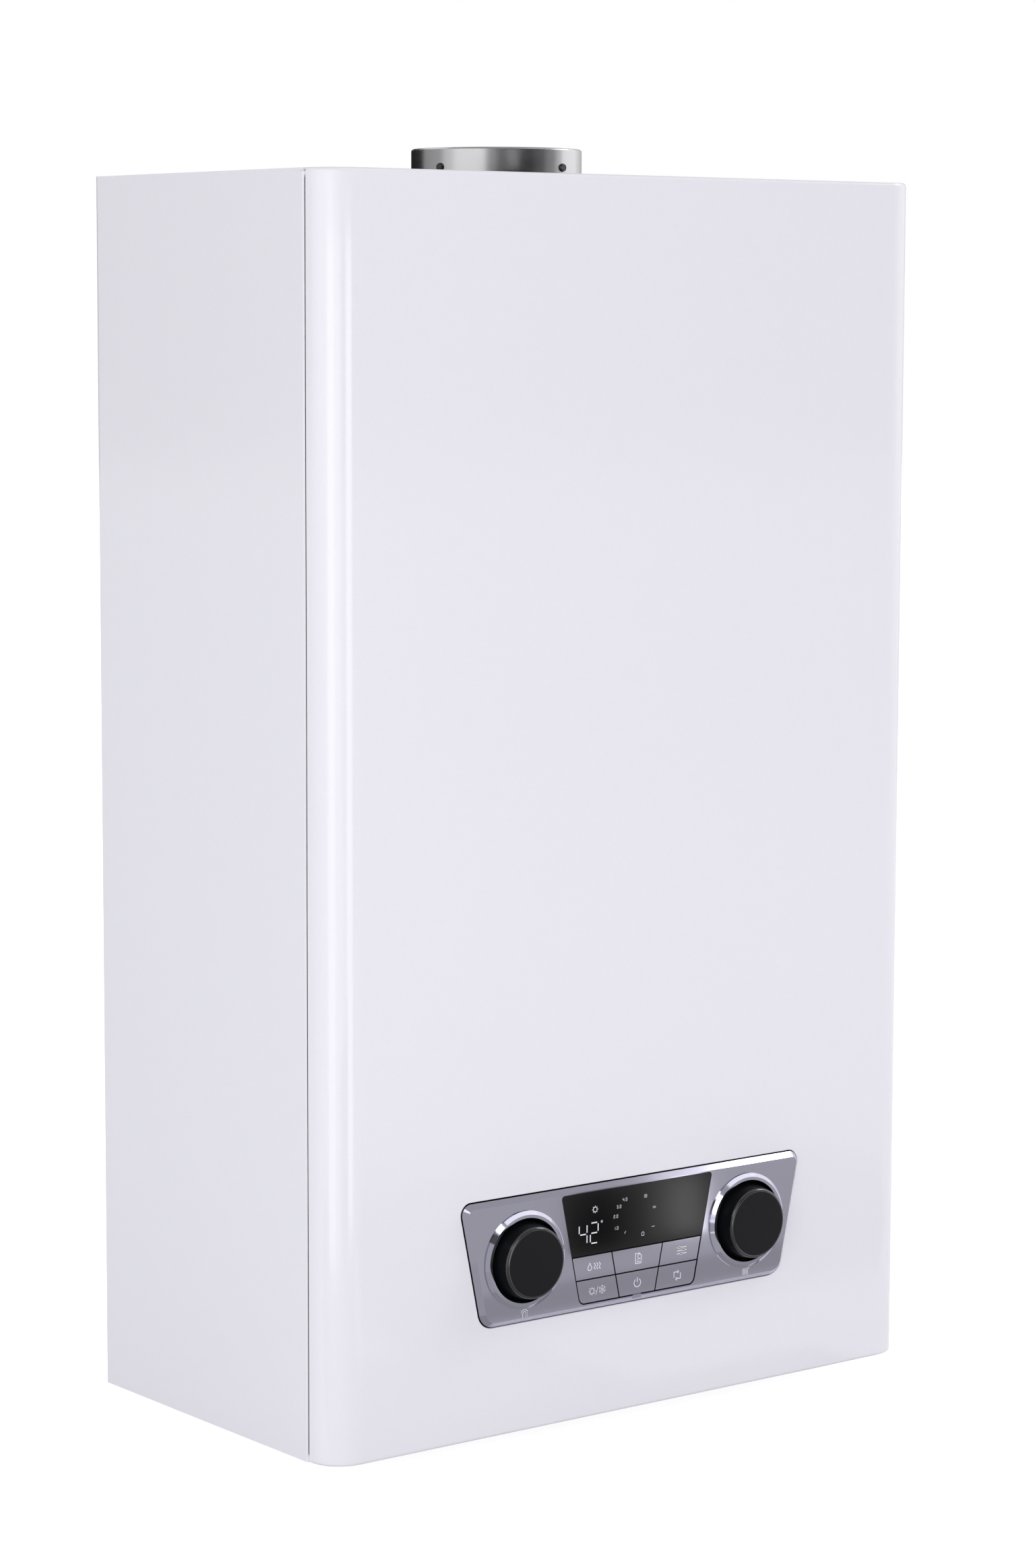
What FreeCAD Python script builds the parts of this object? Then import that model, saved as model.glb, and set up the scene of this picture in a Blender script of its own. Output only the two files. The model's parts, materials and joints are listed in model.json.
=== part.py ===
import FreeCAD, Part
import math
import os

import Sketcher

# A wall-hung gas boiler: a white sheet-steel case with a pull-off front cover, a sloped-sided
# control panel with two endless knobs and six push buttons, a flue collar on the lid, and the
# fan, burner, heat exchangers, pump and valves that the case holds.
#
# The part frame has +Z up and the front towards -Y. The origin is on the wall, in the middle
# of the line of wall bolts. Inside a sub-part, heights are measured from the case's lower edge.

# Driving dimensions in millimetres: name, value, meaning
SIZES = [
    ("case_width", 420.0, "outside width of the case"),
    ("case_height", 695.0, "height of the case"),
    ("case_depth", 230.0, "wall to the face of the front cover"),
    ("hang_drop", 65.0, "top of the case above the line of wall bolts"),
    ("sheet", 1.0, "side, lid and floor sheet"),
    ("back_sheet", 1.2, "back panel sheet"),
    ("cover_sheet", 1.2, "front cover sheet"),
    ("cover_depth", 20.5, "depth of the front cover pan"),
    ("cover_corner", 20.0, "radius of the cover's upright corners"),
    ("cover_edge", 2.0, "bend radius of the cover's upper and lower edge"),
    ("seam_gap", 1.2, "gap between front cover and side panels"),
    ("rear_bend", 5.0, "outer bend radius at the wall edge of a side panel"),
    ("front_bend", 2.0, "outer bend radius at the seam edge of a side panel"),
    ("rear_flange", 18.0, "side panel flange on the wall"),
    ("front_flange", 30.0, "side panel flange behind the cover"),
    ("notch_height", 2.0, "corner relief in the side panel, up"),
    ("notch_depth", 4.0, "corner relief in the side panel, back"),
    ("back_offset", 10.8, "wall to the rear face of the back panel's field"),
    ("back_lap", 14.0, "back panel lap on the side panel flange"),
    ("lid_flange", 12.0, "turned-down edge of the lid and turned-up edge of the floor"),
    ("floor_recess", 24.0, "floor above the case's lower edge"),
    ("gasket_width", 8.0, "cover gasket width"),
    ("gasket_thick", 2.5, "cover gasket thickness"),
    ("gasket_inset", 3.0, "cover gasket from the case's outside"),
    ("stud_radius", 3.0, "cover stud"),
    ("stud_inset", 20.5, "cover stud from the case's side"),
    ("stud_low", 190.0, "height of the lower cover studs"),
    ("stud_drop", 65.0, "upper cover studs below the top of the case"),
    ("stud_grip", 8.0, "cover stud past the side panel flange"),
    ("clip_wall", 2.5, "wall of a spring clip"),
    ("clip_length", 6.0, "length of a spring clip behind the flange"),
    ("slide_gap", 0.3, "clearance of pieces that move past each other"),
    ("bolt_spacing", 160.0, "distance between the wall bolts"),
    ("bolt_slot_width", 10.0, "wall bolt slot width"),
    ("bolt_slot_length", 20.0, "wall bolt slot length"),
    ("bracket_width", 300.0, "wall bracket width"),
    ("bracket_height", 44.0, "wall bracket height"),
    ("bracket_sheet", 3.0, "wall bracket sheet"),
    ("hook_spacing", 240.0, "distance between the bracket's hooks"),
    ("hook_width", 30.0, "hook width"),
    ("hook_rise", 12.0, "hook lip above its tongue"),
    ("bezel_foot", 62.8, "control panel's lower edge above the case's lower edge"),
    ("bezel_height", 71.2, "control panel height"),
    ("bezel_top", 247.0, "control panel width along its upper edge"),
    ("bezel_bottom", 217.4, "control panel width along its lower edge"),
    ("bezel_proud", 3.0, "control panel face in front of the cover"),
    ("bezel_wall", 2.5, "control panel wall"),
    ("bezel_bevel", 2.8, "bevel round the control panel"),
    ("bezel_top_round", 6.0, "control panel upper corner radius"),
    ("bezel_foot_round", 9.5, "control panel lower corner radius"),
    ("cutout_gap", 0.7, "cover cut-out round the control panel"),
    ("cutout_edge", 0.5, "rolled edge of the cover cut-out"),
    ("block_rise", 3.6, "display and key opening above the control panel's lower edge"),
    ("block_height", 64.2, "display and key opening height"),
    ("block_web", 1.8, "least width between the display opening and a knob hole"),
    ("block_top_round", 2.0, "opening upper corner radius"),
    ("block_foot_round", 4.5, "opening lower corner radius"),
    ("display_height", 36.0, "display window height"),
    ("lens_thick", 2.0, "display window thickness"),
    ("lens_gap", 0.2, "display window to its opening"),
    ("key_gap", 0.8, "slit round each key"),
    ("key_thick", 1.4, "key cap thickness"),
    ("key_sink", 0.2, "keys and display below the control panel face"),
    ("key_middle", 37.5, "width of the middle key column along its upper edge"),
    ("key_travel", 0.7, "key travel"),
    ("key_stem", 2.0, "radius of a key's stem"),
    ("bridge_width", 6.0, "bridge across the slit below the middle key"),
    ("mat_thick", 1.0, "key mat thickness"),
    ("board_depth", 10.4, "control panel face to the front of the circuit board"),
    ("board_thick", 1.6, "circuit board thickness"),
    ("switch_height", 1.8, "push switch height on the circuit board"),
    ("post_radius", 3.0, "board post radius"),
    ("knob_inset", 42.5, "knob axis from the control panel's upper corner"),
    ("knob_rise", 35.6, "knob axis above the control panel's lower edge"),
    ("knob_front", 14.0, "knob face in front of the cover"),
    ("knob_radius", 20.2, "knob face radius"),
    ("knob_skirt", 23.2, "knob skirt radius"),
    ("knob_hole", 24.0, "control panel hole round a knob"),
    ("knob_wall", 2.2, "knob wall"),
    ("knob_edge", 1.0, "rounding of a knob's front edge"),
    ("ring_foot", 27.7, "raised ring round a knob, foot radius"),
    ("ring_top", 25.7, "raised ring round a knob, top radius"),
    ("ring_height", 2.2, "raised ring round a knob, height"),
    ("shaft_radius", 3.0, "encoder shaft radius"),
    ("shaft_gap", 0.05, "encoder shaft running clearance"),
    ("encoder_size", 13.0, "encoder body, square"),
    ("encoder_depth", 6.0, "encoder body depth"),
    ("box_width", 260.0, "control box width"),
    ("box_gap", 14.8, "control box to the gas valve's coils behind it"),
    ("box_wall", 2.0, "control box wall"),
    ("flue_offset", 99.0, "wall to the flue axis"),
    ("collar_radius", 49.0, "flue collar outside radius"),
    ("collar_height", 17.5, "flue collar above the lid"),
    ("collar_wall", 1.5, "flue collar wall"),
    ("collar_round", 1.8, "rolled upper edge of the flue collar"),
    ("collar_flange", 60.0, "flue collar flange radius"),
    ("collar_gasket", 1.5, "gasket under the flue collar"),
    ("collar_screw_rise", 6.4, "collar screws above the lid"),
    ("collar_screw_angle", 12.3, "turn of the first collar screw from the front, degrees"),
    ("screw_head", 2.4, "collar screw head radius"),
    ("screw_shank", 1.5, "collar screw shank radius"),
    ("flue_bore", 30.3, "flue socket bore radius"),
    ("flue_wall", 1.2, "flue socket wall"),
    ("flue_socket", 45.0, "flue socket depth"),
    ("fan_radius", 62.0, "fan scroll radius"),
    ("fan_depth", 64.0, "fan scroll depth"),
    ("fan_wall", 1.5, "fan sheet"),
    ("fan_drop", 105.0, "fan axis below the top of the case"),
    ("fan_inlet", 26.0, "fan inlet radius"),
    ("impeller_radius", 48.0, "fan wheel radius"),
    ("impeller_blades", 24, "fan wheel blades"),
    ("motor_radius", 36.0, "fan motor radius"),
    ("motor_depth", 48.0, "fan motor depth"),
    ("core_margin", 84.0, "heat exchanger core to the side panel"),
    ("core_gap", 38.3, "heat exchanger core behind the front of the side panels"),
    ("core_clear", 12.0, "heat exchanger core to the expansion vessel"),
    ("core_height", 40.0, "heat exchanger core height"),
    ("core_drop", 255.0, "heat exchanger's foot below the top of the case"),
    ("fin_pitch", 8.0, "heat exchanger fin pitch"),
    ("fin_slot", 4.5, "gap between heat exchanger fins"),
    ("fin_root", 8.0, "solid foot of the heat exchanger fins"),
    ("plate_thick", 3.0, "heat exchanger end plate"),
    ("bend_tube", 7.0, "heat exchanger tube radius"),
    ("hood_height", 40.0, "flue hood height"),
    ("chamber_height", 105.0, "combustion chamber height"),
    ("chamber_wall", 4.0, "combustion chamber wall with its insulation"),
    ("burner_height", 52.0, "burner height"),
    ("burner_pitch", 18.5, "burner blade pitch"),
    ("blade_thick", 9.0, "burner blade thickness"),
    ("manifold_radius", 8.0, "gas manifold tube radius"),
    ("vessel_foot", 171.0, "height of the expansion vessel's foot"),
    ("vessel_gap", 27.0, "expansion vessel to the duct above it"),
    ("vessel_rim", 3.0, "rolled rim of the expansion vessel"),
    ("vessel_depth", 46.0, "expansion vessel depth"),
    ("pipe_inset", 79.0, "outer connections from the side panel"),
    ("pipe_offset", 100.0, "wall to the connections"),
    ("pipe_drop", 15.0, "connections below the case's lower edge"),
    ("large_thread", 13.2, "outside radius of a three-quarter inch connection"),
    ("small_thread", 10.5, "outside radius of a half inch connection"),
    ("thread_length", 22.0, "length of a connection's thread"),
    ("thread_wall", 2.6, "wall of a connection"),
    ("hole_gap", 1.0, "clearance of floor holes"),
    ("large_pipe", 9.0, "heating and gas pipe radius"),
    ("small_pipe", 7.0, "water pipe radius"),
    ("pipe_bend", 20.0, "pipe bend radius"),
    ("side_pipe", 32.0, "heating pipes from the case's side"),
    ("tap_forward", 40.0, "filling tap in front of the connections"),
    ("gland_inset", 34.0, "cable gland from the side panel"),
    ("gland_back", 40.0, "cable gland behind the connections"),
]

doc = FreeCAD.newDocument("GasBoiler")
sheet = doc.addObject("Spreadsheet::Sheet", "Sizes")
PARTS = []


class Size:
    """A length with its value in millimetres and the sheet expression that gives it."""

    def __init__(self, value, text):
        self.value = float(value)
        self.text = text

    def __add__(self, other):
        return join(self, "+", other, self.value + number(other))

    def __radd__(self, other):
        return join(other, "+", self, number(other) + self.value)

    def __sub__(self, other):
        return join(self, "-", other, self.value - number(other))

    def __rsub__(self, other):
        return join(other, "-", self, number(other) - self.value)

    def __mul__(self, other):
        return join(self, "*", other, self.value * number(other))

    def __rmul__(self, other):
        return join(other, "*", self, number(other) * self.value)

    def __truediv__(self, other):
        return join(self, "/", other, self.value / number(other))

    def __neg__(self):
        return Size(-self.value, f"(0 - {self.text})")


def number(size):
    """The plain value of a size or a number."""
    return size.value if isinstance(size, Size) else float(size)


def text(size):
    """The expression text of a size or a number."""
    return size.text if isinstance(size, Size) else repr(float(size))


def join(left, sign, right, value):
    """Two sizes joined by an arithmetic sign."""
    return Size(value, f"({text(left)} {sign} {text(right)})")


def fill_sheet():
    """Writes the driving dimensions to the sheet and returns them by name."""
    named = {}
    for row, (name, value, meaning) in enumerate(SIZES, 1):
        sheet.set(f"A{row}", name)
        sheet.set(f"B{row}", str(value))
        sheet.set(f"C{row}", meaning)
        sheet.setAlias(f"B{row}", name)
        named[name] = Size(value, f"Sizes.{name}")
    doc.recompute()
    return named


class Names:
    """The driving dimensions as attributes."""

    def __init__(self, named):
        self.__dict__.update(named)


D = Names(fill_sheet())

# Places that several sub-parts share, all worked out from the driving dimensions
CASE_FOOT = D.hang_drop - D.case_height
BOLT_LEVEL = D.case_height - D.hang_drop
HALF_WIDTH = D.case_width / 2
INNER_HALF = HALF_WIDTH - D.sheet
SIDE_FRONT = D.case_depth - D.cover_depth - D.seam_gap
GAS_SIZE = 5 * D.large_thread
FIELD_FRONT = D.back_offset + D.back_sheet
FLOOR_TOP = D.floor_recess + D.sheet
LID_UNDER = D.case_height - D.sheet
COVER_BACK = D.case_depth - D.cover_depth
BEZEL_FACE = D.case_depth + D.bezel_proud
BEZEL_INSIDE = BEZEL_FACE - D.bezel_wall
BEZEL_BACK = SIDE_FRONT + D.box_wall
BOX_DEPTH = SIDE_FRONT - (D.pipe_offset + 0.75 * GAS_SIZE) - D.box_gap
BEZEL_SLOPE = (D.bezel_top - D.bezel_bottom) / 2 / D.bezel_height
BEZEL_HEAD = D.bezel_foot + D.bezel_height
KNOB_X = D.bezel_top / 2 - D.knob_inset
BLOCK_HALF = KNOB_X - D.knob_hole - D.block_web
BLOCK_FOOT = D.bezel_foot + D.block_rise
BLOCK_HEAD = BLOCK_FOOT + D.block_height
KEY_HEAD = BLOCK_HEAD - D.display_height
KEY_HEIGHT = (KEY_HEAD - BLOCK_FOOT - 3 * D.key_gap) / 2
KEY_FACE = BEZEL_FACE - D.key_sink
BOARD_FRONT = BEZEL_FACE - D.board_depth
KNOB_LEVEL = D.bezel_foot + D.knob_rise
STUD_HIGH = D.case_height - D.stud_drop
FAN_LEVEL = D.case_height - D.fan_drop
CORE_WIDTH = 2 * (INNER_HALF - D.core_margin)
CORE_LEVEL = D.case_height - D.core_drop
CORE_BACK = FIELD_FRONT + D.vessel_depth + D.core_clear
CORE_FRONT = SIDE_FRONT - D.core_gap
CORE_DEPTH = CORE_FRONT - CORE_BACK
PIPE_PITCH = (INNER_HALF - D.pipe_inset) / 2
CHAMBER_FOOT = CORE_LEVEL - D.chamber_height
BURNER_FOOT = CHAMBER_FOOT - D.burner_height
CORE_TOP = CORE_LEVEL + D.core_height
TUBE_LEVEL = CORE_LEVEL + D.core_height / 2
FAN_X = D.flue_bore + D.flue_wall - D.fan_radius
FAN_BACK = D.flue_offset - D.fan_depth / 2
FAN_FRONT = D.flue_offset + D.fan_depth / 2


def bind(thing, path, size):
    """Ties a property to the sheet, or sets it where the size is a plain number."""
    thing.setExpression(path, text(size))


def place(thing, x=0, y=0, z=0):
    """Moves an object, with its height measured from the case's lower edge."""
    for axis, size in (("x", x), ("y", y), ("z", CASE_FOOT + z)):
        bind(thing, f"Placement.Base.{axis}", size)


def part(thing, label=None):
    """Marks an object as a sub-part that is written to its own file."""
    if label:
        thing.Label = label
    PARTS.append(thing)
    return thing


def body(label, x=0, y=0, z=0):
    """A new sub-part built from sketches."""
    made = part(doc.addObject("PartDesign::Body", label), label)
    place(made, x, y, z)
    return made


PLANES = {"plan": "XY_Plane", "front": "XZ_Plane", "side": "YZ_Plane"}


def sketch(owner, plane, offset=0):
    """An empty sketch on one of the body's own planes; 'front' offsets run away from the wall."""
    made = owner.newObject("Sketcher::SketchObject", "Sketch")
    support = [f for f in owner.Origin.OriginFeatures if f.Role == PLANES[plane]]
    made.AttachmentSupport = [(support[0], "")]
    made.MapMode = "FlatFace"
    bind(made, "AttachmentOffset.Base.z", offset)
    return made


def pin_point(made, shape, end, x, y):
    """Fixes one end of a sketch line, or a circle's centre, at expressions from the origin."""
    for kind, size in (("DistanceX", x), ("DistanceY", y)):
        index = made.addConstraint(
            Sketcher.Constraint(kind, -1, 1, shape, end, number(size)))
        bind(made, f"Constraints[{index}]", size)


def outline(made, points):
    """Adds a closed polygon whose corners follow the sheet."""
    first = made.GeometryCount
    count = len(points)
    flat = [FreeCAD.Vector(number(x), number(y), 0) for x, y in points]
    for i in range(count):
        made.addGeometry(Part.LineSegment(flat[i], flat[(i + 1) % count]), False)
    for i in range(count):
        after = first + (i + 1) % count
        made.addConstraint(Sketcher.Constraint("Coincident", first + i, 2, after, 1))
    for i, (x, y) in enumerate(points):
        pin_point(made, first + i, 1, x, y)
    return made


def rectangle(made, x0, y0, x1, y1):
    """Adds a rectangle between two corners."""
    return outline(made, [(x0, y0), (x1, y0), (x1, y1), (x0, y1)])


def circle(made, x, y, radius):
    """Adds a circle whose centre and radius follow the sheet."""
    centre = FreeCAD.Vector(number(x), number(y), 0)
    shape = made.addGeometry(Part.Circle(centre, FreeCAD.Vector(0, 0, 1), number(radius)), False)
    pin_point(made, shape, 3, x, y)
    index = made.addConstraint(Sketcher.Constraint("Radius", shape, number(radius)))
    bind(made, f"Constraints[{index}]", radius)
    return made


def pad(owner, profile, length, back=False):
    """Pads a sketch along its plane's direction, or the other way."""
    made = owner.newObject("PartDesign::Pad", "Pad")
    made.Profile = profile
    made.Reversed = back
    bind(made, "Length", length)
    doc.recompute()
    return made


def pocket(owner, profile, length, forward=False):
    """Cuts a sketch into the body, against its plane's direction or along it."""
    before = owner.Shape.Volume
    made = owner.newObject("PartDesign::Pocket", "Pocket")
    made.Profile = profile
    made.Reversed = forward
    bind(made, "Length", length)
    doc.recompute()
    if owner.Shape.Volume >= before:
        raise RuntimeError(f"{owner.Label}: a pocket cut nothing")
    return made


def revolve(owner, profile):
    """Turns a sketch about its own upright axis."""
    made = owner.newObject("PartDesign::Revolution", "Revolution")
    made.Profile = profile
    made.ReferenceAxis = (profile, ["V_Axis"])
    made.Angle = 360
    doc.recompute()
    return made


def edges_of(shape, wanted):
    """Names of the edges that a test picks out."""
    return [f"Edge{i}" for i, edge in enumerate(shape.Edges, 1) if wanted(edge)]


def fillet(owner, base, wanted, radius):
    """Rounds the edges that a test picks out."""
    made = owner.newObject("PartDesign::Fillet", "Fillet")
    made.Base = (base, edges_of(base.Shape, wanted))
    bind(made, "Radius", radius)
    doc.recompute()
    return made


def chamfer(owner, base, wanted, size):
    """Bevels the edges that a test picks out."""
    made = owner.newObject("PartDesign::Chamfer", "Chamfer")
    made.Base = (base, edges_of(base.Shape, wanted))
    bind(made, "Size", size)
    doc.recompute()
    return made


def hollow(owner, base, wall, wanted):
    """Hollows a body to an even wall, open at the faces that a test picks out."""
    made = owner.newObject("PartDesign::Thickness", "Thickness")
    made.Base = (base, [f"Face{i}" for i, face in enumerate(base.Shape.Faces, 1) if wanted(face)])
    made.Reversed = True
    bind(made, "Value", wall)
    doc.recompute()
    return made


def row_of(owner, feature, profile, count, length):
    """Repeats a feature along its sketch's first axis."""
    made = owner.newObject("PartDesign::LinearPattern", "Row")
    made.Originals = [feature]
    made.Direction = (profile, ["H_Axis"])
    made.Occurrences = int(count)
    bind(made, "Length", length)
    owner.Tip = made
    doc.recompute()
    return made


def ring_of(owner, feature, profile, count):
    """Repeats a feature round its sketch's normal axis."""
    made = owner.newObject("PartDesign::PolarPattern", "Ring")
    made.Originals = [feature]
    made.Axis = (profile, ["N_Axis"])
    made.Angle = 360
    made.Occurrences = int(count)
    owner.Tip = made
    doc.recompute()
    return made


def near(value, size, within=0.01):
    """Whether a coordinate is where a size says."""
    return abs(value - number(size)) < within


def runs_along(edge, axis):
    """Whether a straight edge runs along X, Y or Z."""
    ends = edge.Vertexes
    if len(ends) != 2 or not isinstance(edge.Curve, Part.Line):
        return False
    step = ends[1].Point - ends[0].Point
    return all(abs(step[i]) < 1e-6 for i in range(3) if "XYZ"[i] != axis)


def box(label, x, y, z, length, width, height):
    """A block with its lowest corner at x, y, z."""
    made = doc.addObject("Part::Box", label)
    for name, size in (("Length", length), ("Width", width), ("Height", height)):
        bind(made, name, size)
    place(made, x, y, z)
    return made


TURNS = {"X": FreeCAD.Vector(1, 0, 0), "Y": FreeCAD.Vector(0, -1, 0), "Z": FreeCAD.Vector(0, 0, 1)}


def rod(label, x, y, z, radius, length, axis="Z"):
    """A round bar; along Y it grows away from the wall."""
    made = doc.addObject("Part::Cylinder", label)
    bind(made, "Radius", radius)
    bind(made, "Height", length)
    turn = FreeCAD.Rotation(FreeCAD.Vector(0, 0, 1), TURNS[axis])
    made.Placement = FreeCAD.Placement(FreeCAD.Vector(), turn)
    place(made, x, y, z)
    return made


def fuse(label, pieces):
    """Pieces joined into one."""
    made = doc.addObject("Part::MultiFuse", label)
    made.Shapes = pieces
    doc.recompute()
    return made


def cut(label, base, tools):
    """A piece with others taken out of it."""
    made = doc.addObject("Part::Cut", label)
    made.Base = base
    made.Tool = tools[0] if len(tools) == 1 else fuse(f"{label}_tools", tools)
    doc.recompute()
    return made


def group(label, pieces):
    """Separate solids that share one file."""
    made = doc.addObject("Part::Compound", label)
    made.Links = pieces
    doc.recompute()
    return part(made, label)


def route(points, bend):
    """A wire of straight runs joined by arcs of one bend radius."""
    spots = [FreeCAD.Vector(*[number(c) for c in p]) for p in points]
    edges = []
    start = spots[0]
    for before, corner, after in zip(spots, spots[1:], spots[2:]):
        into = (corner - before).normalize()
        out = (after - corner).normalize()
        turn = into.getAngle(out)
        reach = number(bend) * math.tan(turn / 2)
        first, last = corner - into * reach, corner + out * reach
        inward = (out - into).normalize()
        bulge = number(bend) * (1 / math.cos(turn / 2) - 1)
        edges.append(Part.LineSegment(start, first).toShape())
        edges.append(Part.Arc(first, corner + inward * bulge, last).toShape())
        start = last
    edges.append(Part.LineSegment(start, spots[-1]).toShape())
    return Part.Wire(edges)


def pipe(label, points, radius, bend=D.pipe_bend):
    """A round tube along a route."""
    wire = route(points, bend)
    start = wire.Edges[0]
    ring = Part.Wire(Part.Circle(start.valueAt(start.FirstParameter),
                                 start.tangentAt(start.FirstParameter), number(radius)).toShape())
    tube = Part.Wire(wire).makePipeShell([ring], True, False)
    made = doc.addObject("Part::Feature", label)
    made.Shape = tube
    place(made)
    full = math.pi * number(radius) ** 2 * wire.Length
    if abs(made.Shape.Volume / full - 1) > 0.01:
        raise RuntimeError(f"{label}: the tube's volume is off its route")
    return made


def side_panel(label, hand):
    """A side sheet bent round at the wall and at the seam, with a relief at its upper corner."""
    panel = body(label)
    out, thick = HALF_WIDTH, D.sheet
    points = [
        (out - D.rear_flange, 0), (out, 0), (out, -SIDE_FRONT), (out - D.front_flange, -SIDE_FRONT),
        (out - D.front_flange, thick - SIDE_FRONT), (out - thick, thick - SIDE_FRONT),
        (out - thick, -thick), (out - D.rear_flange, -thick),
    ]
    profile = outline(sketch(panel, "plan"), [(hand * x, y) for x, y in points])
    last = pad(panel, profile, D.case_height)

    def bends(at_x, at_y):
        def wanted(edge):
            spot = edge.Vertexes[0].Point
            return runs_along(edge, "Z") and near(spot.x, hand * at_x) and near(spot.y, at_y)
        return wanted

    last = fillet(panel, last, bends(out, 0), D.rear_bend)
    last = fillet(panel, last, bends(out - thick, -thick), D.rear_bend - thick)
    last = fillet(panel, last, bends(out, -SIDE_FRONT), D.front_bend)
    last = fillet(panel, last, bends(out - thick, thick - SIDE_FRONT), D.front_bend - thick)
    relief = rectangle(sketch(panel, "plan", D.case_height),
                       hand * (out - D.front_flange), -SIDE_FRONT,
                       hand * out, D.notch_depth - SIDE_FRONT)
    pocket(panel, relief, D.notch_height)
    for level in (D.stud_low, STUD_HIGH):
        hole = circle(sketch(panel, "front", SIDE_FRONT), hand * (out - D.stud_inset), level,
                      D.stud_radius + D.slide_gap + D.clip_wall + D.lens_gap)
        pocket(panel, hole, D.sheet)


def rear_panel():
    """The back sheet, joggled forward to leave room for the wall bracket, with hook windows."""
    panel = body("rear_panel")
    lap = INNER_HALF - D.rear_bend
    web = lap - D.back_lap
    near_wall, lap_front = -D.sheet, -(D.sheet + D.back_sheet)
    right = [
        (web - D.back_sheet, -D.back_offset), (web - D.back_sheet, near_wall), (lap, near_wall),
        (lap, lap_front), (web, lap_front), (web, -FIELD_FRONT),
    ]
    left = [(-x, y) for x, y in reversed(right)]
    pad(panel, outline(sketch(panel, "plan"), right + left), D.case_height)
    tongue = BOLT_LEVEL + D.bracket_height / 2
    half = D.hook_width / 2 + 2 * D.slide_gap
    for hand in (-1, 1):
        centre = hand * D.hook_spacing / 2
        window = rectangle(sketch(panel, "front", FIELD_FRONT), centre - half,
                           tongue - 4 * D.bracket_sheet, centre + half, tongue)
        pocket(panel, window, D.back_sheet)


def wall_bracket():
    """The rail that is bolted to the wall, with two slots and two hooks."""
    thick = D.bracket_sheet
    head = BOLT_LEVEL + D.bracket_height / 2
    plate = box("bracket_plate", -D.bracket_width / 2, -thick, BOLT_LEVEL - D.bracket_height / 2,
                D.bracket_width, thick, D.bracket_height)
    pieces, slots = [plate], []
    reach = FIELD_FRONT + D.slide_gap + thick
    straight = D.bolt_slot_length - D.bolt_slot_width
    for hand in (-1, 1):
        x = hand * D.hook_spacing / 2 - D.hook_width / 2
        pieces.append(box("hook_tongue", x, -reach, head - thick, D.hook_width, reach, thick))
        pieces.append(box("hook_lip", x, -reach, head - thick, D.hook_width, thick,
                          thick + D.hook_rise))
        bolt = hand * D.bolt_spacing / 2
        slots.append(box("slot", bolt - straight / 2, -thick, BOLT_LEVEL - D.bolt_slot_width / 2,
                         straight, thick, D.bolt_slot_width))
        for end in (-1, 1):
            slots.append(rod("slot_end", bolt + end * straight / 2, 0, BOLT_LEVEL,
                             D.bolt_slot_width / 2, thick, "Y"))
    part(cut("wall_bracket", fuse("bracket_blank", pieces), slots), "wall_bracket")


def connections():
    """The five connections under the floor: name, place across the case, radius."""
    pitch = PIPE_PITCH
    return [
        ("heating_connectors", -2 * pitch, D.large_thread),
        ("water_connectors", -1 * pitch, D.small_thread),
        ("gas_connector", 0 * pitch, D.large_thread),
        ("water_connectors", pitch, D.small_thread),
        ("heating_connectors", 2 * pitch, D.large_thread),
    ]


def lid_and_floor():
    """The lid with its flue hole and the floor with its pipe holes, as trays between the sides."""
    front = SIDE_FRONT
    clear = D.front_flange + D.slide_gap
    rear = FIELD_FRONT
    depth = front - D.front_bend - rear
    span = 2 * INNER_HALF
    for label, plate_z, flange_z in (
            ("top_panel", LID_UNDER, D.case_height - D.lid_flange),
            ("bottom_panel", D.floor_recess, D.floor_recess)):
        pieces = [
            box("tray_plate", -INNER_HALF, -rear - depth, plate_z, span, depth, D.sheet),
            box("tray_left", -INNER_HALF, -rear - depth, flange_z, D.sheet, depth, D.lid_flange),
            box("tray_right", INNER_HALF - D.sheet, -rear - depth, flange_z, D.sheet, depth,
                D.lid_flange),
            box("tray_tongue", clear - HALF_WIDTH, -front, plate_z, 2 * (HALF_WIDTH - clear),
                D.front_bend, D.sheet),
            box("tray_front", clear - HALF_WIDTH, -front, flange_z, 2 * (HALF_WIDTH - clear),
                D.sheet, D.lid_flange),
        ]
        blank = fuse(f"{label}_blank", pieces)
        if label == "top_panel":
            holes = [rod("flue_hole", 0, -D.flue_offset, LID_UNDER,
                         D.collar_radius - D.collar_wall, D.sheet)]
        else:
            holes = [rod("pipe_hole", x, -D.pipe_offset, D.floor_recess, radius + D.hole_gap, D.sheet)
                     for _, x, radius in connections()]
            holes.append(rod("tap_hole", TAP_X, -TAP_Y, D.floor_recess, TAP_RADIUS, D.sheet))
            holes.append(rod("gland_hole", GLAND_X, -GLAND_Y, D.floor_recess, GLAND_RADIUS, D.sheet))
        part(cut(label, blank, holes), label)


TAP_X = 1.5 * PIPE_PITCH
TAP_Y = D.pipe_offset + D.tap_forward
TAP_RADIUS = D.small_pipe
GLAND_X = D.gland_inset - INNER_HALF
GLAND_Y = D.pipe_offset - D.gland_back
GLAND_RADIUS = D.small_pipe


def panel_outline(foot, head, half_at_head, grow=0):
    """The control panel's sloped-sided outline between two levels, grown on every side."""
    lean = BEZEL_SLOPE
    top = half_at_head + grow + lean * grow
    bottom = top - lean * (head - foot + 2 * grow)
    return [(-bottom, foot - grow), (bottom, foot - grow), (top, head + grow), (-top, head + grow)]


def round_corners(owner, last, foot, head, foot_round, head_round):
    """Rounds the edges along Y near a lower and an upper level."""
    for level, radius in ((foot, foot_round), (head, head_round)):
        def wanted(edge, level=level):
            return runs_along(edge, "Y") and near(edge.Vertexes[0].Point.z, level)
        last = fillet(owner, last, wanted, radius)
    return last


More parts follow.
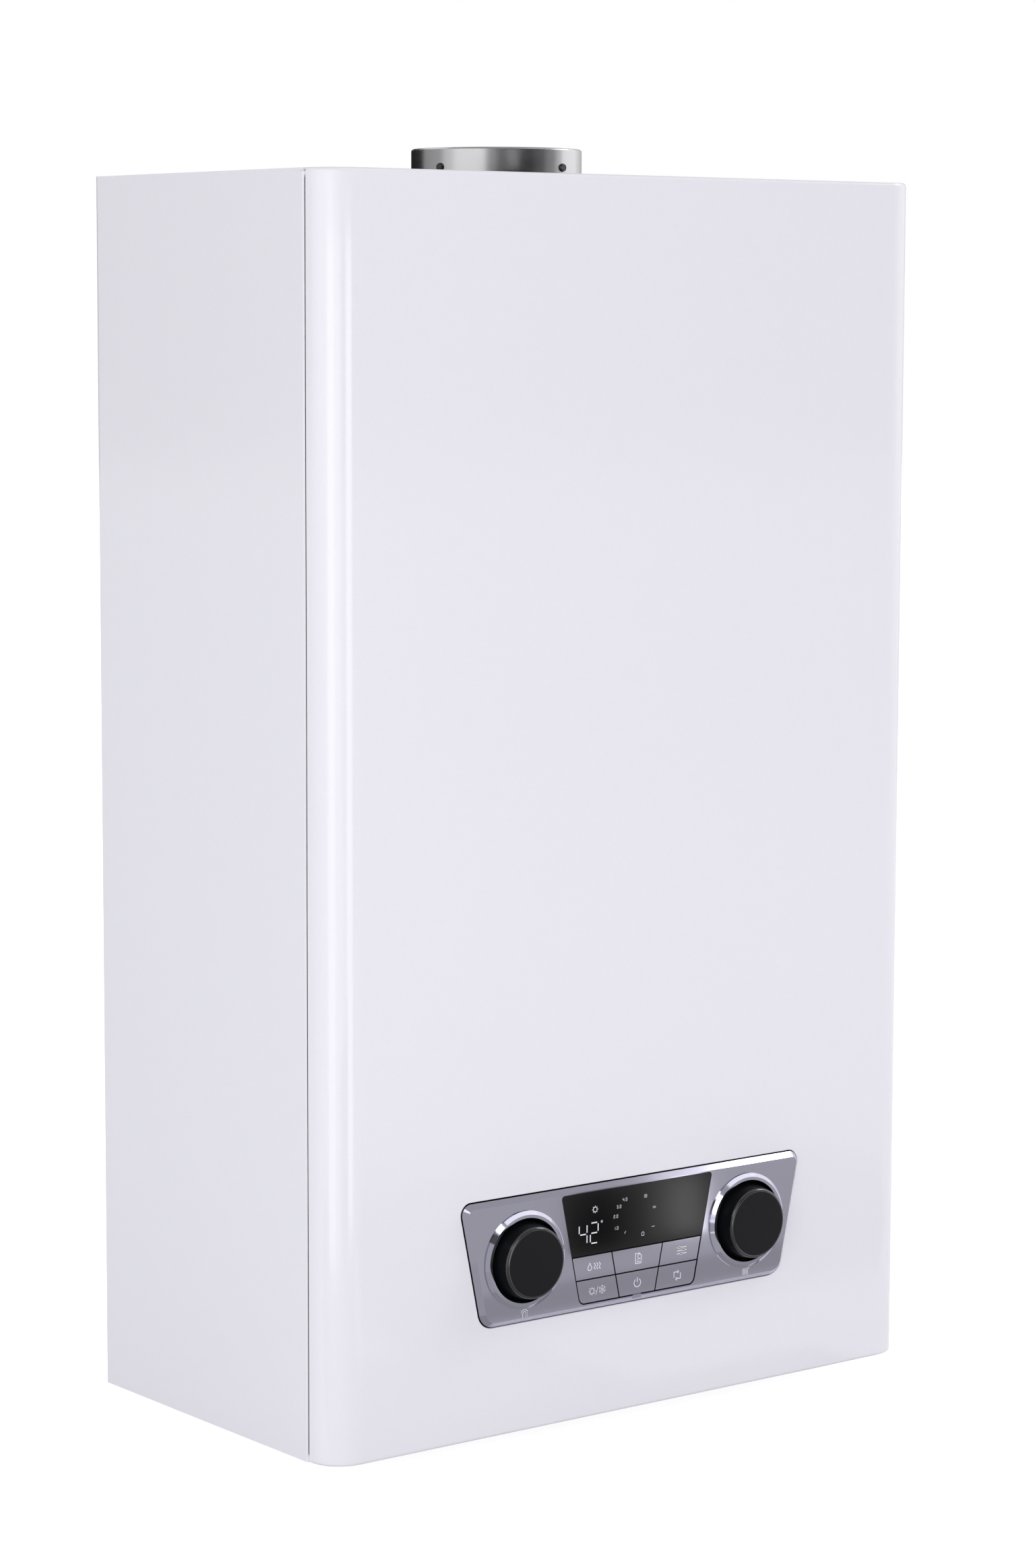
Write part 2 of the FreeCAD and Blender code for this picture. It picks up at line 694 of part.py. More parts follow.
def front_cover():
    """The pressed cover: a shallow pan with round upright corners and a cut-out for the panel."""
    cover = body("front_cover")
    profile = rectangle(sketch(cover, "plan"), -HALF_WIDTH, -D.case_depth, HALF_WIDTH, -COVER_BACK)
    last = pad(cover, profile, D.case_height)

    def upright(at_x, at_y):
        def wanted(edge):
            spot = edge.Vertexes[0].Point
            return (runs_along(edge, "Z") and near(abs(spot.x), at_x) and near(spot.y, at_y))
        return wanted

    last = fillet(cover, last, upright(HALF_WIDTH, -D.case_depth), D.cover_corner)

    def rim(edge):
        level = edge.BoundBox
        flat = level.ZLength < 1e-6
        at_end = near(level.ZMin, 0) or near(level.ZMin, D.case_height)
        return flat and at_end and not near(level.YMin, -COVER_BACK)

    last = fillet(cover, last, rim, D.cover_edge)
    last = hollow(cover, last, D.cover_sheet, lambda face: near(face.BoundBox.YMin, -COVER_BACK))
    hole = panel_outline(D.bezel_foot, BEZEL_HEAD, D.bezel_top / 2, D.cutout_gap)
    last = pocket(cover, outline(sketch(cover, "front", D.case_depth), hole), 2 * D.cover_sheet)
    last = round_corners(cover, last, D.bezel_foot - D.cutout_gap, BEZEL_HEAD + D.cutout_gap,
                         D.bezel_foot_round + D.cutout_gap, D.bezel_top_round + D.cutout_gap)

    def lip(edge):
        room = edge.BoundBox
        return (room.YLength < 1e-6 and near(room.YMin, -D.case_depth)
                and room.ZMin > number(D.bezel_foot - 2 * D.cutout_gap)
                and room.ZMax < number(BEZEL_HEAD + 2 * D.cutout_gap)
                and room.XMax < number(D.bezel_top) / 2 + 2 * number(D.cutout_gap)
                and room.XMin > -number(D.bezel_top) / 2 - 2 * number(D.cutout_gap))

    fillet(cover, last, lip, D.cutout_edge)


def cover_fixings():
    """Cover studs, the spring clips that hold them, and the cover gasket."""
    studs, clips = [], []
    inner = D.case_depth - D.cover_sheet
    tip = SIDE_FRONT - D.stud_grip
    bore = D.stud_radius + D.slide_gap
    for hand in (-1, 1):
        for level in (D.stud_low, STUD_HIGH):
            x = hand * (HALF_WIDTH - D.stud_inset)
            studs.append(rod("stud", x, -tip, level, D.stud_radius, inner - tip, "Y"))
            sleeve = fuse("clip_blank", [
                rod("clip_sleeve", x, D.clip_length - SIDE_FRONT + D.sheet, level,
                    bore + D.clip_wall, D.clip_length + D.sheet, "Y"),
                rod("clip_head", x, -SIDE_FRONT, level, bore + 2 * D.clip_wall, D.sheet, "Y"),
            ])
            drill = rod("clip_bore", x, D.clip_length - SIDE_FRONT + D.sheet, level, bore,
                        D.clip_length + 2 * D.sheet, "Y")
            clips.append(cut("clip", sleeve, [drill]))
    group("cover_studs", studs)
    group("cover_clips", clips)
    seal = body("cover_gasket")
    ring = sketch(seal, "front", SIDE_FRONT)
    for inset in (D.gasket_inset, D.gasket_inset + D.gasket_width):
        rectangle(ring, inset - HALF_WIDTH, inset, HALF_WIDTH - inset, D.case_height - inset)
    pad(seal, ring, D.gasket_thick)


def control_bezel():
    """The silver control panel: a bevelled cap with a display and key opening and two raised rings."""
    bezel = body("control_bezel")
    shape = panel_outline(D.bezel_foot, BEZEL_HEAD, D.bezel_top / 2)
    last = pad(bezel, outline(sketch(bezel, "front", BEZEL_BACK), shape), BEZEL_FACE - BEZEL_BACK)
    last = round_corners(bezel, last, D.bezel_foot, BEZEL_HEAD, D.bezel_foot_round, D.bezel_top_round)

    def face_rim(edge):
        return edge.BoundBox.YLength < 1e-6 and near(edge.BoundBox.YMin, -BEZEL_FACE)

    last = chamfer(bezel, last, face_rim, D.bezel_bevel)
    inside = panel_outline(D.bezel_foot, BEZEL_HEAD, D.bezel_top / 2, -D.bezel_wall)
    pocket(bezel, outline(sketch(bezel, "front", BEZEL_BACK), inside), BEZEL_INSIDE - BEZEL_BACK,
           forward=True)
    opening = panel_outline(BLOCK_FOOT, BLOCK_HEAD, BLOCK_HALF)
    last = pocket(bezel, outline(sketch(bezel, "front", BEZEL_FACE), opening), D.bezel_wall)

    def opening_corner(level):
        def wanted(edge):
            spot = edge.Vertexes[0].Point
            return (runs_along(edge, "Y") and near(spot.z, level)
                    and abs(spot.x) < number(BLOCK_HALF) + 1)
        return wanted

    last = fillet(bezel, last, opening_corner(BLOCK_FOOT), D.block_foot_round)
    fillet(bezel, last, opening_corner(BLOCK_HEAD), D.block_top_round)
    for hand in (-1, 1):
        x = hand * KNOB_X
        ring = pad(bezel, circle(sketch(bezel, "front", BEZEL_INSIDE), x, KNOB_LEVEL, D.ring_foot),
                   D.bezel_wall + D.ring_height)

        def ring_rim(edge, x=x):
            room = edge.BoundBox
            return near(room.YMin, -(BEZEL_FACE + D.ring_height)) and near(room.Center.x, x)

        chamfer(bezel, ring, ring_rim, D.ring_foot - D.ring_top)
        pocket(bezel, circle(sketch(bezel, "front", BEZEL_FACE + D.ring_height), x, KNOB_LEVEL,
                             D.knob_hole), D.bezel_wall + 2 * D.ring_height)
    bridge = rectangle(sketch(bezel, "front", BEZEL_INSIDE), -D.bridge_width / 2,
                       BLOCK_FOOT - D.block_rise / 2, D.bridge_width / 2,
                       BLOCK_FOOT + D.key_gap - D.slide_gap)
    pad(bezel, bridge, D.bezel_wall - D.key_sink)
    for x, level in board_posts():
        pad(bezel, circle(sketch(bezel, "front", BEZEL_INSIDE), x, level, D.post_radius),
            BEZEL_INSIDE - BOARD_FRONT, back=True)


def board_posts():
    """Centres of the four posts that carry the circuit board."""
    inward = BLOCK_HALF + 1.5 * D.post_radius
    low = BLOCK_FOOT + 1.5 * D.post_radius
    high = BLOCK_HEAD - 1.5 * D.post_radius
    return [(hand * inward, level) for hand in (-1, 1) for level in (low, high)]


def block_half(level):
    """Half the width of the display and key opening at a level."""
    return BLOCK_HALF - BEZEL_SLOPE * (BLOCK_HEAD - level)


def display():
    """The black window and the display module behind it."""
    lens = body("display_lens")
    gap = D.lens_gap
    foot = KEY_HEAD
    shape = panel_outline(foot, BLOCK_HEAD - gap, block_half(BLOCK_HEAD) - gap)
    last = pad(lens, outline(sketch(lens, "front", KEY_FACE - D.lens_thick), shape), D.lens_thick)

    def head_corner(edge):
        return runs_along(edge, "Y") and near(edge.Vertexes[0].Point.z, BLOCK_HEAD - gap)

    fillet(lens, last, head_corner, D.block_top_round)
    margin = 2 * D.lens_thick
    width = 2 * (block_half(foot) - margin)
    depth = KEY_FACE - D.lens_thick - BOARD_FRONT
    part(box("display_module", -width / 2, -(KEY_FACE - D.lens_thick), foot + margin / 2, width,
             depth, D.display_height - margin), "display_module")


KEYS = [
    ("comfort_button", -1, 1), ("service_button", 0, 1), ("mode_button", 1, 1),
    ("season_button", -1, 0), ("power_button", 0, 0), ("reset_button", 1, 0),
]


def key_foot(row):
    """Lower edge of a row of keys; row 0 is the lower one."""
    return BLOCK_FOOT + D.key_gap + row * (KEY_HEIGHT + D.key_gap)


def key_sides(column, level):
    """Left and right edge of a key column at a level."""
    gap = D.key_gap
    divider = D.key_middle / 2 - BEZEL_SLOPE * (KEY_HEAD - level)
    outer = block_half(level) - gap
    spans = {-1: (-outer, -divider - gap / 2), 0: (gap / 2 - divider, divider - gap / 2),
             1: (divider + gap / 2, outer)}
    return spans[column]


def key_centre(column, row):
    """Middle of a key, where its stem is."""
    level = key_foot(row) + KEY_HEIGHT / 2
    left, right = key_sides(column, level)
    return (left + right) / 2, level


def buttons():
    """Six keys with stems, each a cap with sides parallel to the panel's sloped sides."""
    for label, column, row in KEYS:
        key = body(label)
        foot = key_foot(row)
        head = foot + KEY_HEIGHT
        low, high = key_sides(column, foot), key_sides(column, head)
        back = KEY_FACE - D.key_thick
        shape = [(low[0], foot), (low[1], foot), (high[1], head), (high[0], head)]
        last = pad(key, outline(sketch(key, "front", back), shape), D.key_thick)
        if column and not row:
            corner = low[0] if column < 0 else low[1]

            def outer_corner(edge, corner=corner, foot=foot):
                spot = edge.Vertexes[0].Point
                return runs_along(edge, "Y") and near(spot.x, corner) and near(spot.z, foot)

            fillet(key, last, outer_corner, D.block_foot_round - D.key_gap)
        x, level = key_centre(column, row)
        reach = back - (BOARD_FRONT + D.switch_height + D.key_travel + D.key_sink)
        pad(key, circle(sketch(key, "front", back), x, level, D.key_stem), reach, back=True)


def key_support():
    """The black mat behind the keys and the circuit board."""
    mat = body("button_mat")
    margin = D.block_rise / 4
    shape = panel_outline(BLOCK_FOOT - margin, KEY_HEAD, block_half(KEY_HEAD) + margin / 2)
    pad(mat, outline(sketch(mat, "front", BEZEL_INSIDE - D.mat_thick), shape), D.mat_thick)
    for _, column, row in KEYS:
        x, level = key_centre(column, row)
        stem_hole = circle(sketch(mat, "front", BEZEL_INSIDE), x, level, D.key_stem + D.slide_gap)
        pocket(mat, stem_hole, D.mat_thick)
    half = KNOB_X + D.encoder_size
    part(box("control_board", -half, -BOARD_FRONT, BLOCK_FOOT, 2 * half, D.board_thick,
             D.block_height), "control_board")


def key_switches():
    """The push switches on the board, one behind each key."""
    side = 3 * D.key_stem
    switches = []
    for _, column, row in KEYS:
        x, level = key_centre(column, row)
        switches.append(box("switch", x - side / 2, -BOARD_FRONT - D.switch_height, level - side / 2,
                            side, D.switch_height, side))
    return switches


def knobs():
    """Two knobs with flared skirts and spindles, and the encoders on the board."""
    encoders = []
    face = D.case_depth + D.knob_front
    rear = BEZEL_INSIDE
    depth = face - rear
    shaft_foot = BOARD_FRONT + D.board_thick
    hub = D.shaft_radius + D.shaft_gap + D.knob_wall
    floor = D.knob_wall
    for name, hand in (("dhw", -1), ("heating", 1)):
        x = hand * KNOB_X
        knob = body(f"{name}_knob", x, -rear, KNOB_LEVEL)
        wall = D.knob_wall
        points = [
            (0, -depth), (D.knob_radius, -depth), (D.knob_radius + 0.15 * wall, -0.45 * depth),
            (D.knob_radius + 0.5 * (D.knob_skirt - D.knob_radius), -0.22 * depth),
            (D.knob_skirt, -0.1 * depth), (D.knob_skirt, 0), (D.knob_skirt - wall, 0),
            (D.knob_radius - wall, floor - depth), (hub, floor - depth), (hub, 0),
            (D.shaft_radius, 0), (D.shaft_radius, rear - shaft_foot), (0, rear - shaft_foot),
        ]
        last = revolve(knob, outline(sketch(knob, "plan"), points))

        def front_rim(edge):
            room = edge.BoundBox
            return (near(room.YMin, -depth) and room.YLength < 1e-6
                    and near(room.XMax, D.knob_radius))

        fillet(knob, last, front_rim, D.knob_edge)
        half = D.encoder_size / 2
        blank = box("encoder_blank", x - half, -BOARD_FRONT - D.encoder_depth, KNOB_LEVEL - half,
                    D.encoder_size, D.encoder_depth, D.encoder_size)
        drill = rod("encoder_bore", x, -BOARD_FRONT - D.board_thick / 2, KNOB_LEVEL,
                    D.shaft_radius + D.shaft_gap, D.encoder_depth, "Y")
        encoders.append(cut("encoder", blank, [drill]))
    group("board_switches", key_switches() + encoders)


def control_box():
    """The plate that carries the control panel and the tub behind it."""
    tub = body("control_box")
    half = D.box_width / 2
    foot, head = D.bezel_foot - 2 * D.box_wall, BEZEL_HEAD + 2 * D.box_wall
    wing = HALF_WIDTH - D.gasket_inset - D.gasket_width - D.slide_gap
    pad(tub, rectangle(sketch(tub, "front", SIDE_FRONT), -wing, foot, wing, head), D.box_wall)
    pad(tub, rectangle(sketch(tub, "front", SIDE_FRONT), -half, foot, half, head), BOX_DEPTH,
        back=True)
    inner = panel_outline(D.bezel_foot, BEZEL_HEAD, D.bezel_top / 2, -2 * D.bezel_wall)
    pocket(tub, outline(sketch(tub, "front", BEZEL_BACK), inner), BOX_DEPTH)


def flue_parts():
    """Flue collar with its gasket and screws, and the flue socket inside it."""
    collar = body("flue_collar", 0, -D.flue_offset, D.case_height)
    base, top = D.collar_gasket, D.collar_height
    inner = D.collar_radius - D.collar_wall
    points = [(inner, base), (D.collar_flange, base), (D.collar_flange, base + D.collar_wall),
              (D.collar_radius, base + D.collar_wall), (D.collar_radius, top), (inner, top)]
    last = revolve(collar, outline(sketch(collar, "front"), points))

    def upper_rim(edge):
        room = edge.BoundBox
        return near(room.ZMax, top) and room.ZLength < 1e-6 and near(room.XMax, D.collar_radius)

    last = fillet(collar, last, upper_rim, D.collar_round * 0.75)
    start = math.radians(number(D.collar_screw_angle))
    screws = []
    for quarter in range(4):
        turn = start + quarter * math.pi / 2
        outward = FreeCAD.Vector(math.sin(turn), -math.cos(turn), 0)
        hub = FreeCAD.Vector(0, -number(D.flue_offset), number(D.case_height + D.collar_screw_rise))
        seat = hub + outward * number(inner)
        shank = Part.makeCylinder(number(D.screw_shank), number(D.collar_wall), seat, outward)
        head_seat = hub + outward * number(D.collar_radius)
        head = Part.makeSphere(number(D.screw_head), head_seat)
        head = head.common(Part.makeCylinder(number(D.screw_head), number(D.screw_head), head_seat,
                                             outward))
        flat = Part.makeCylinder(2 * number(D.screw_head), 2 * number(D.screw_head),
                                 head_seat + outward * (0.55 * number(D.screw_head)), outward)
        screws.append((shank, head.cut(flat)))
    drilled = doc.addObject("Part::Feature", "collar_screw_holes")
    drilled.Shape = Part.makeCompound([shank for shank, _ in screws])
    place(drilled)
    PARTS.remove(collar)
    collar.Label = "flue_collar_blank"
    part(cut("flue_collar", collar, [drilled]), "flue_collar")
    made = doc.addObject("Part::Feature", "collar_screws")
    outside = Part.makeCylinder(number(D.collar_radius), number(D.case_height), FreeCAD.Vector(
        0, -number(D.flue_offset), number(D.case_height)))
    made.Shape = Part.makeCompound([shank.fuse(head.cut(outside)).removeSplitter()
                                    for shank, head in screws])
    place(made)
    part(made, "collar_screws")
    seal = body("collar_gasket", 0, -D.flue_offset, D.case_height)
    ring = sketch(seal, "plan")
    circle(ring, 0, 0, inner)
    circle(ring, 0, 0, D.collar_flange)
    pad(seal, ring, D.collar_gasket)
    socket = body("flue_socket", 0, -D.flue_offset, D.case_height)
    lip = D.collar_height - 2 * D.collar_round
    outer = D.flue_bore + D.flue_wall
    points = [(D.flue_bore, lip - D.flue_socket), (outer, lip - D.flue_socket), (outer, lip),
              (D.flue_bore, lip)]
    revolve(socket, outline(sketch(socket, "front"), points))


def fan():
    """The flue fan: scroll, front plate, wheel and motor."""
    outlet_top = D.case_height + D.collar_height - 2 * D.collar_round - D.flue_socket
    outlet = outlet_top - FAN_LEVEL
    outer = D.flue_bore + D.flue_wall
    wall, depth = D.fan_wall, D.fan_depth
    shell = fuse("fan_shell", [
        rod("scroll", FAN_X, -FAN_BACK, FAN_LEVEL, D.fan_radius, depth, "Y"),
        box("scroll_outlet", -outer, -FAN_FRONT, FAN_LEVEL, 2 * outer, depth, outlet),
    ])
    hollow = fuse("fan_hollow", [
        rod("scroll_inside", FAN_X, -FAN_BACK - wall, FAN_LEVEL, D.fan_radius - wall, depth, "Y"),
        box("outlet_inside", wall - outer, -FAN_FRONT, FAN_LEVEL, 2 * (outer - wall), depth - wall,
            outlet),
    ])
    inlet = rod("fan_inlet", FAN_X, -FAN_BACK, FAN_LEVEL, D.fan_inlet, depth, "Y")
    part(cut("fan_housing", shell, [hollow, inlet]), "fan_housing")
    blank = fuse("fan_plate_blank", [
        rod("plate_disc", FAN_X, -FAN_FRONT, FAN_LEVEL, D.fan_radius, wall, "Y"),
        box("plate_outlet", -outer, -FAN_FRONT - wall, FAN_LEVEL, 2 * outer, wall, outlet),
    ])
    shaft_hole = rod("fan_shaft_hole", FAN_X, -FAN_FRONT, FAN_LEVEL,
                     D.shaft_radius + D.slide_gap, wall, "Y")
    part(cut("fan_plate", blank, [shaft_hole]), "fan_plate")

    wheel = body("fan_impeller", FAN_X, 0, FAN_LEVEL)
    back = FAN_FRONT - 4 * wall
    disc = sketch(wheel, "front", back)
    circle(disc, 0, 0, D.impeller_radius)
    pad(wheel, disc, wall)
    pad(wheel, circle(sketch(wheel, "front", back), 0, 0, D.shaft_radius),
        FAN_FRONT + wall + D.motor_depth / 2 - back)
    inner = 0.75 * D.impeller_radius
    blade = sketch(wheel, "front", back)
    outline(blade, [(inner, 0), (0.97 * D.impeller_radius, 4 * wall),
                    (0.97 * D.impeller_radius, 5 * wall), (inner, wall)])
    blade_pad = pad(wheel, blade, back - FAN_BACK - 5 * wall, back=True)
    ring_of(wheel, blade_pad, blade, number(D.impeller_blades))
    hoop = sketch(wheel, "front", FAN_BACK + 5 * wall)
    circle(hoop, 0, 0, inner)
    circle(hoop, 0, 0, D.impeller_radius)
    pad(wheel, hoop, wall, back=True)

    motor = body("fan_motor", FAN_X, -(FAN_FRONT + wall), FAN_LEVEL)
    bore = D.shaft_radius + D.slide_gap
    long, wide = D.motor_depth, D.motor_radius
    points = [
        (bore, 0), (1.25 * wide, 0), (1.25 * wide, -0.08 * long), (wide, -0.12 * long),
        (wide, -0.7 * long), (0.8 * wide, -0.78 * long), (0.8 * wide, -0.94 * long),
        (0.6 * wide, -long), (0, -long), (0, -0.6 * long), (bore, -0.6 * long),
    ]
    revolve(motor, outline(sketch(motor, "plan"), points))


def flue_hood():
    """The hood over the heat exchanger and the duct up to the fan's inlet."""
    hood = body("flue_hood")
    half, slope = CORE_WIDTH / 2, D.hood_height
    rear, front = FAN_BACK, CORE_FRONT
    profile = sketch(hood, "side", -half)
    outline(profile, [(-front, CORE_TOP), (-CORE_BACK, CORE_TOP), (-CORE_BACK, CORE_TOP + slope / 2),
                      (-rear, CORE_TOP + slope), (slope - front, CORE_TOP + slope),
                      (-front, CORE_TOP + slope / 4)])
    pad(hood, profile, 2 * half)
    duct = sketch(hood, "front", rear)
    width = 1.5 * D.fan_inlet
    rectangle(duct, FAN_X - width, CORE_TOP + slope / 2, FAN_X + width, FAN_LEVEL + width)
    pad(hood, duct, rear - D.vessel_depth / 2 - FIELD_FRONT, back=True)
    inlet = circle(sketch(hood, "front", rear), FAN_X, FAN_LEVEL, D.fan_inlet)
    pocket(hood, inlet, D.fan_inlet / 2)


def heat_exchanger():
    """The finned core between two end plates, with the bends that join its tubes."""
    core = body("exchanger_core")
    PARTS.remove(core)
    half = CORE_WIDTH / 2
    pad(core, rectangle(sketch(core, "front", CORE_BACK), -half, CORE_LEVEL, half, CORE_TOP),
        CORE_DEPTH)
    count = int(number(CORE_WIDTH - 2 * D.plate_thick) // number(D.fin_pitch))
    first = -(count - 1) * D.fin_pitch / 2 - D.fin_slot / 2
    slot = rectangle(sketch(core, "front", CORE_FRONT), first, CORE_LEVEL + D.fin_root,
                     first + D.fin_slot, CORE_TOP)
    row_of(core, pocket(core, slot, CORE_DEPTH), slot, count, (count - 1) * D.fin_pitch)
    bends = []
    radius = CORE_DEPTH / 6
    for hand, tubes in ((-1, 2), (1, 4)):
        bend = doc.addObject("Part::Torus", "return_bend")
        bind(bend, "Radius1", radius)
        bind(bend, "Radius2", D.bend_tube)
        bend.Angle3 = 180
        turn = FreeCAD.Rotation(FreeCAD.Vector(0, 0, 1), -90 * hand - 180 if hand > 0 else 90)
        bend.Placement = FreeCAD.Placement(FreeCAD.Vector(), turn)
        place(bend, hand * half, -CORE_BACK - tubes * radius, TUBE_LEVEL)
        bends.append(bend)
    part(fuse("heat_exchanger", [core] + bends), "heat_exchanger")


def combustion():
    """Combustion chamber, its brackets, the burner with its blades, and the gas manifold."""
    half, wall = CORE_WIDTH / 2, D.chamber_wall
    chamber = body("combustion_chamber")
    duct = sketch(chamber, "plan", CHAMBER_FOOT)
    rectangle(duct, -half, -CORE_FRONT, half, -CORE_BACK)
    rectangle(duct, wall - half, wall - CORE_FRONT, half - wall, -wall - CORE_BACK)
    pad(chamber, duct, D.chamber_height)
    arms = []
    for hand in (-1, 1):
        x = -INNER_HALF if hand < 0 else half
        reach = INNER_HALF - half
        level = CHAMBER_FOOT + 0.6 * D.chamber_height
        arm_y = -CORE_BACK - CORE_DEPTH / 2 - 3 * wall
        flat = box("arm", x, arm_y, level, reach, 3 * wall, D.back_sheet)
        tab_x = -INNER_HALF if hand < 0 else INNER_HALF - D.back_sheet
        tab = box("arm_tab", tab_x, arm_y, level, D.back_sheet, 3 * wall, 5 * wall)
        arms.append(fuse("chamber_arm", [flat, tab]))
    group("chamber_brackets", arms)

    burner = body("burner")
    count = 1 + int(number(CORE_WIDTH - 2 * wall - D.blade_thick) // number(D.burner_pitch))
    tray = sketch(burner, "plan", BURNER_FOOT)
    rectangle(tray, -half, -CORE_FRONT, half, -CORE_BACK)
    rectangle(tray, wall - half, wall - CORE_FRONT, half - wall, -wall - CORE_BACK)
    pad(burner, tray, D.burner_height)
    blade = sketch(burner, "front", CORE_BACK + wall)
    first = -(count - 1) * D.burner_pitch / 2 - D.blade_thick / 2
    outline(blade, [(first, BURNER_FOOT), (first + D.blade_thick, BURNER_FOOT),
                    (first + D.blade_thick, BURNER_FOOT + 0.8 * D.burner_height),
                    (first + D.blade_thick / 2, BURNER_FOOT + 0.9 * D.burner_height),
                    (first, BURNER_FOOT + 0.8 * D.burner_height)])
    blade_pad = pad(burner, blade, CORE_DEPTH - 2 * wall)
    row_of(burner, blade_pad, blade, count, (count - 1) * D.burner_pitch)

    bar_y = CORE_FRONT + 1.6 * D.manifold_radius
    level = BURNER_FOOT + 1.5 * D.manifold_radius
    pieces = [rod("manifold_bar", -half, -bar_y, level, D.manifold_radius, CORE_WIDTH, "X")]
    for i in range(count):
        x = (i - (count - 1) / 2) * D.burner_pitch
        pieces.append(rod("injector", x, -CORE_FRONT, level, D.manifold_radius / 2,
                          1.6 * D.manifold_radius, "Y"))
    part(fuse("gas_manifold", pieces), "gas_manifold")

    probes = []
    for x in (-3, -1.5, 3):
        spot = x * D.burner_pitch
        foot = CHAMBER_FOOT + 2 * D.bend_tube
        stem = rod("probe_ceramic", spot, -CORE_FRONT, foot, D.bend_tube / 2, 4 * D.bend_tube, "Y")
        tip = rod("probe_tip", spot, -CORE_FRONT - 4 * D.bend_tube, foot, D.bend_tube / 6,
                  D.bend_tube, "Y")
        plate = box("probe_plate", spot - D.bend_tube, -CORE_FRONT - D.back_sheet,
                    foot - D.bend_tube, 2 * D.bend_tube, D.back_sheet, 2 * D.bend_tube)
        probes.append(fuse("probe", [stem, tip, plate]))
    group("ignition_electrodes", probes)


def vessel_and_switch():
    """The flat expansion vessel on the back panel and the air pressure switch beside the fan."""
    top = CORE_TOP + D.hood_height / 2 - D.vessel_gap
    wide, deep = (top - D.vessel_foot) / 2 - D.vessel_rim, D.vessel_depth
    vessel = body("expansion_vessel", 0, -FIELD_FRONT, (top + D.vessel_foot) / 2)
    points = [(0, 0), (0.92 * wide, 0), (wide, -0.22 * deep), (wide, -0.45 * deep),
              (wide + D.vessel_rim, -0.47 * deep), (wide + D.vessel_rim, -0.53 * deep), (wide, -0.55 * deep),
              (wide, -0.78 * deep), (0.92 * wide, -deep), (0, -deep)]
    revolve(vessel, outline(sketch(vessel, "plan"), points))
    switch = body("air_pressure_switch", 2 * PIPE_PITCH, -FIELD_FRONT, FAN_LEVEL)
    wide = D.motor_radius
    points = [(0, 0), (0.5 * wide, 0), (0.5 * wide, -0.4 * wide), (0.9 * wide, -0.4 * wide),
              (0.9 * wide, -0.55 * wide), (wide, -0.55 * wide), (wide, -0.7 * wide),
              (0.9 * wide, -0.7 * wide), (0.8 * wide, -0.95 * wide), (0.2 * wide, -0.95 * wide),
              (0.2 * wide, -1.3 * wide), (0, -1.3 * wide)]
    revolve(switch, outline(sketch(switch, "plan"), points))


def connectors():
    """The threaded connections, each a bored spigot with a shoulder that sits on the floor."""
    sets = {}
    for label, x, radius in connections():
        made = body(f"{label}_spigot", x, -D.pipe_offset)
        PARTS.remove(made)
        bore = radius - D.thread_wall
        shoulder = radius + 3 * D.hole_gap
        points = [
            (bore, -D.pipe_drop), (radius, -D.pipe_drop), (radius, D.thread_length - D.pipe_drop),
            (radius - D.hole_gap, D.thread_length - D.pipe_drop), (radius - D.hole_gap, FLOOR_TOP),
            (shoulder, FLOOR_TOP), (shoulder, FLOOR_TOP + 3 * D.thread_wall),
            (0, FLOOR_TOP + 3 * D.thread_wall), (0, FLOOR_TOP), (bore, FLOOR_TOP),
        ]
        revolve(made, outline(sketch(made, "front"), points))
        sets.setdefault(label, []).append(made)
    for label, pieces in sets.items():
        group(label, pieces)


SHOULDER_TOP = FLOOR_TOP + 3 * D.thread_wall
LINE = D.pipe_offset
FLOW_X = -2 * PIPE_PITCH
RETURN_X = 2 * PIPE_PITCH
PUMP_REACH = 2.6 * D.large_thread
PUMP_LEVEL = SHOULDER_TOP + D.large_thread + PUMP_REACH
PUMP_TOP = PUMP_LEVEL + PUMP_REACH + D.large_thread
DIVERTER_HEIGHT = 6 * D.large_thread
GAS_FOOT = SHOULDER_TOP + D.large_thread


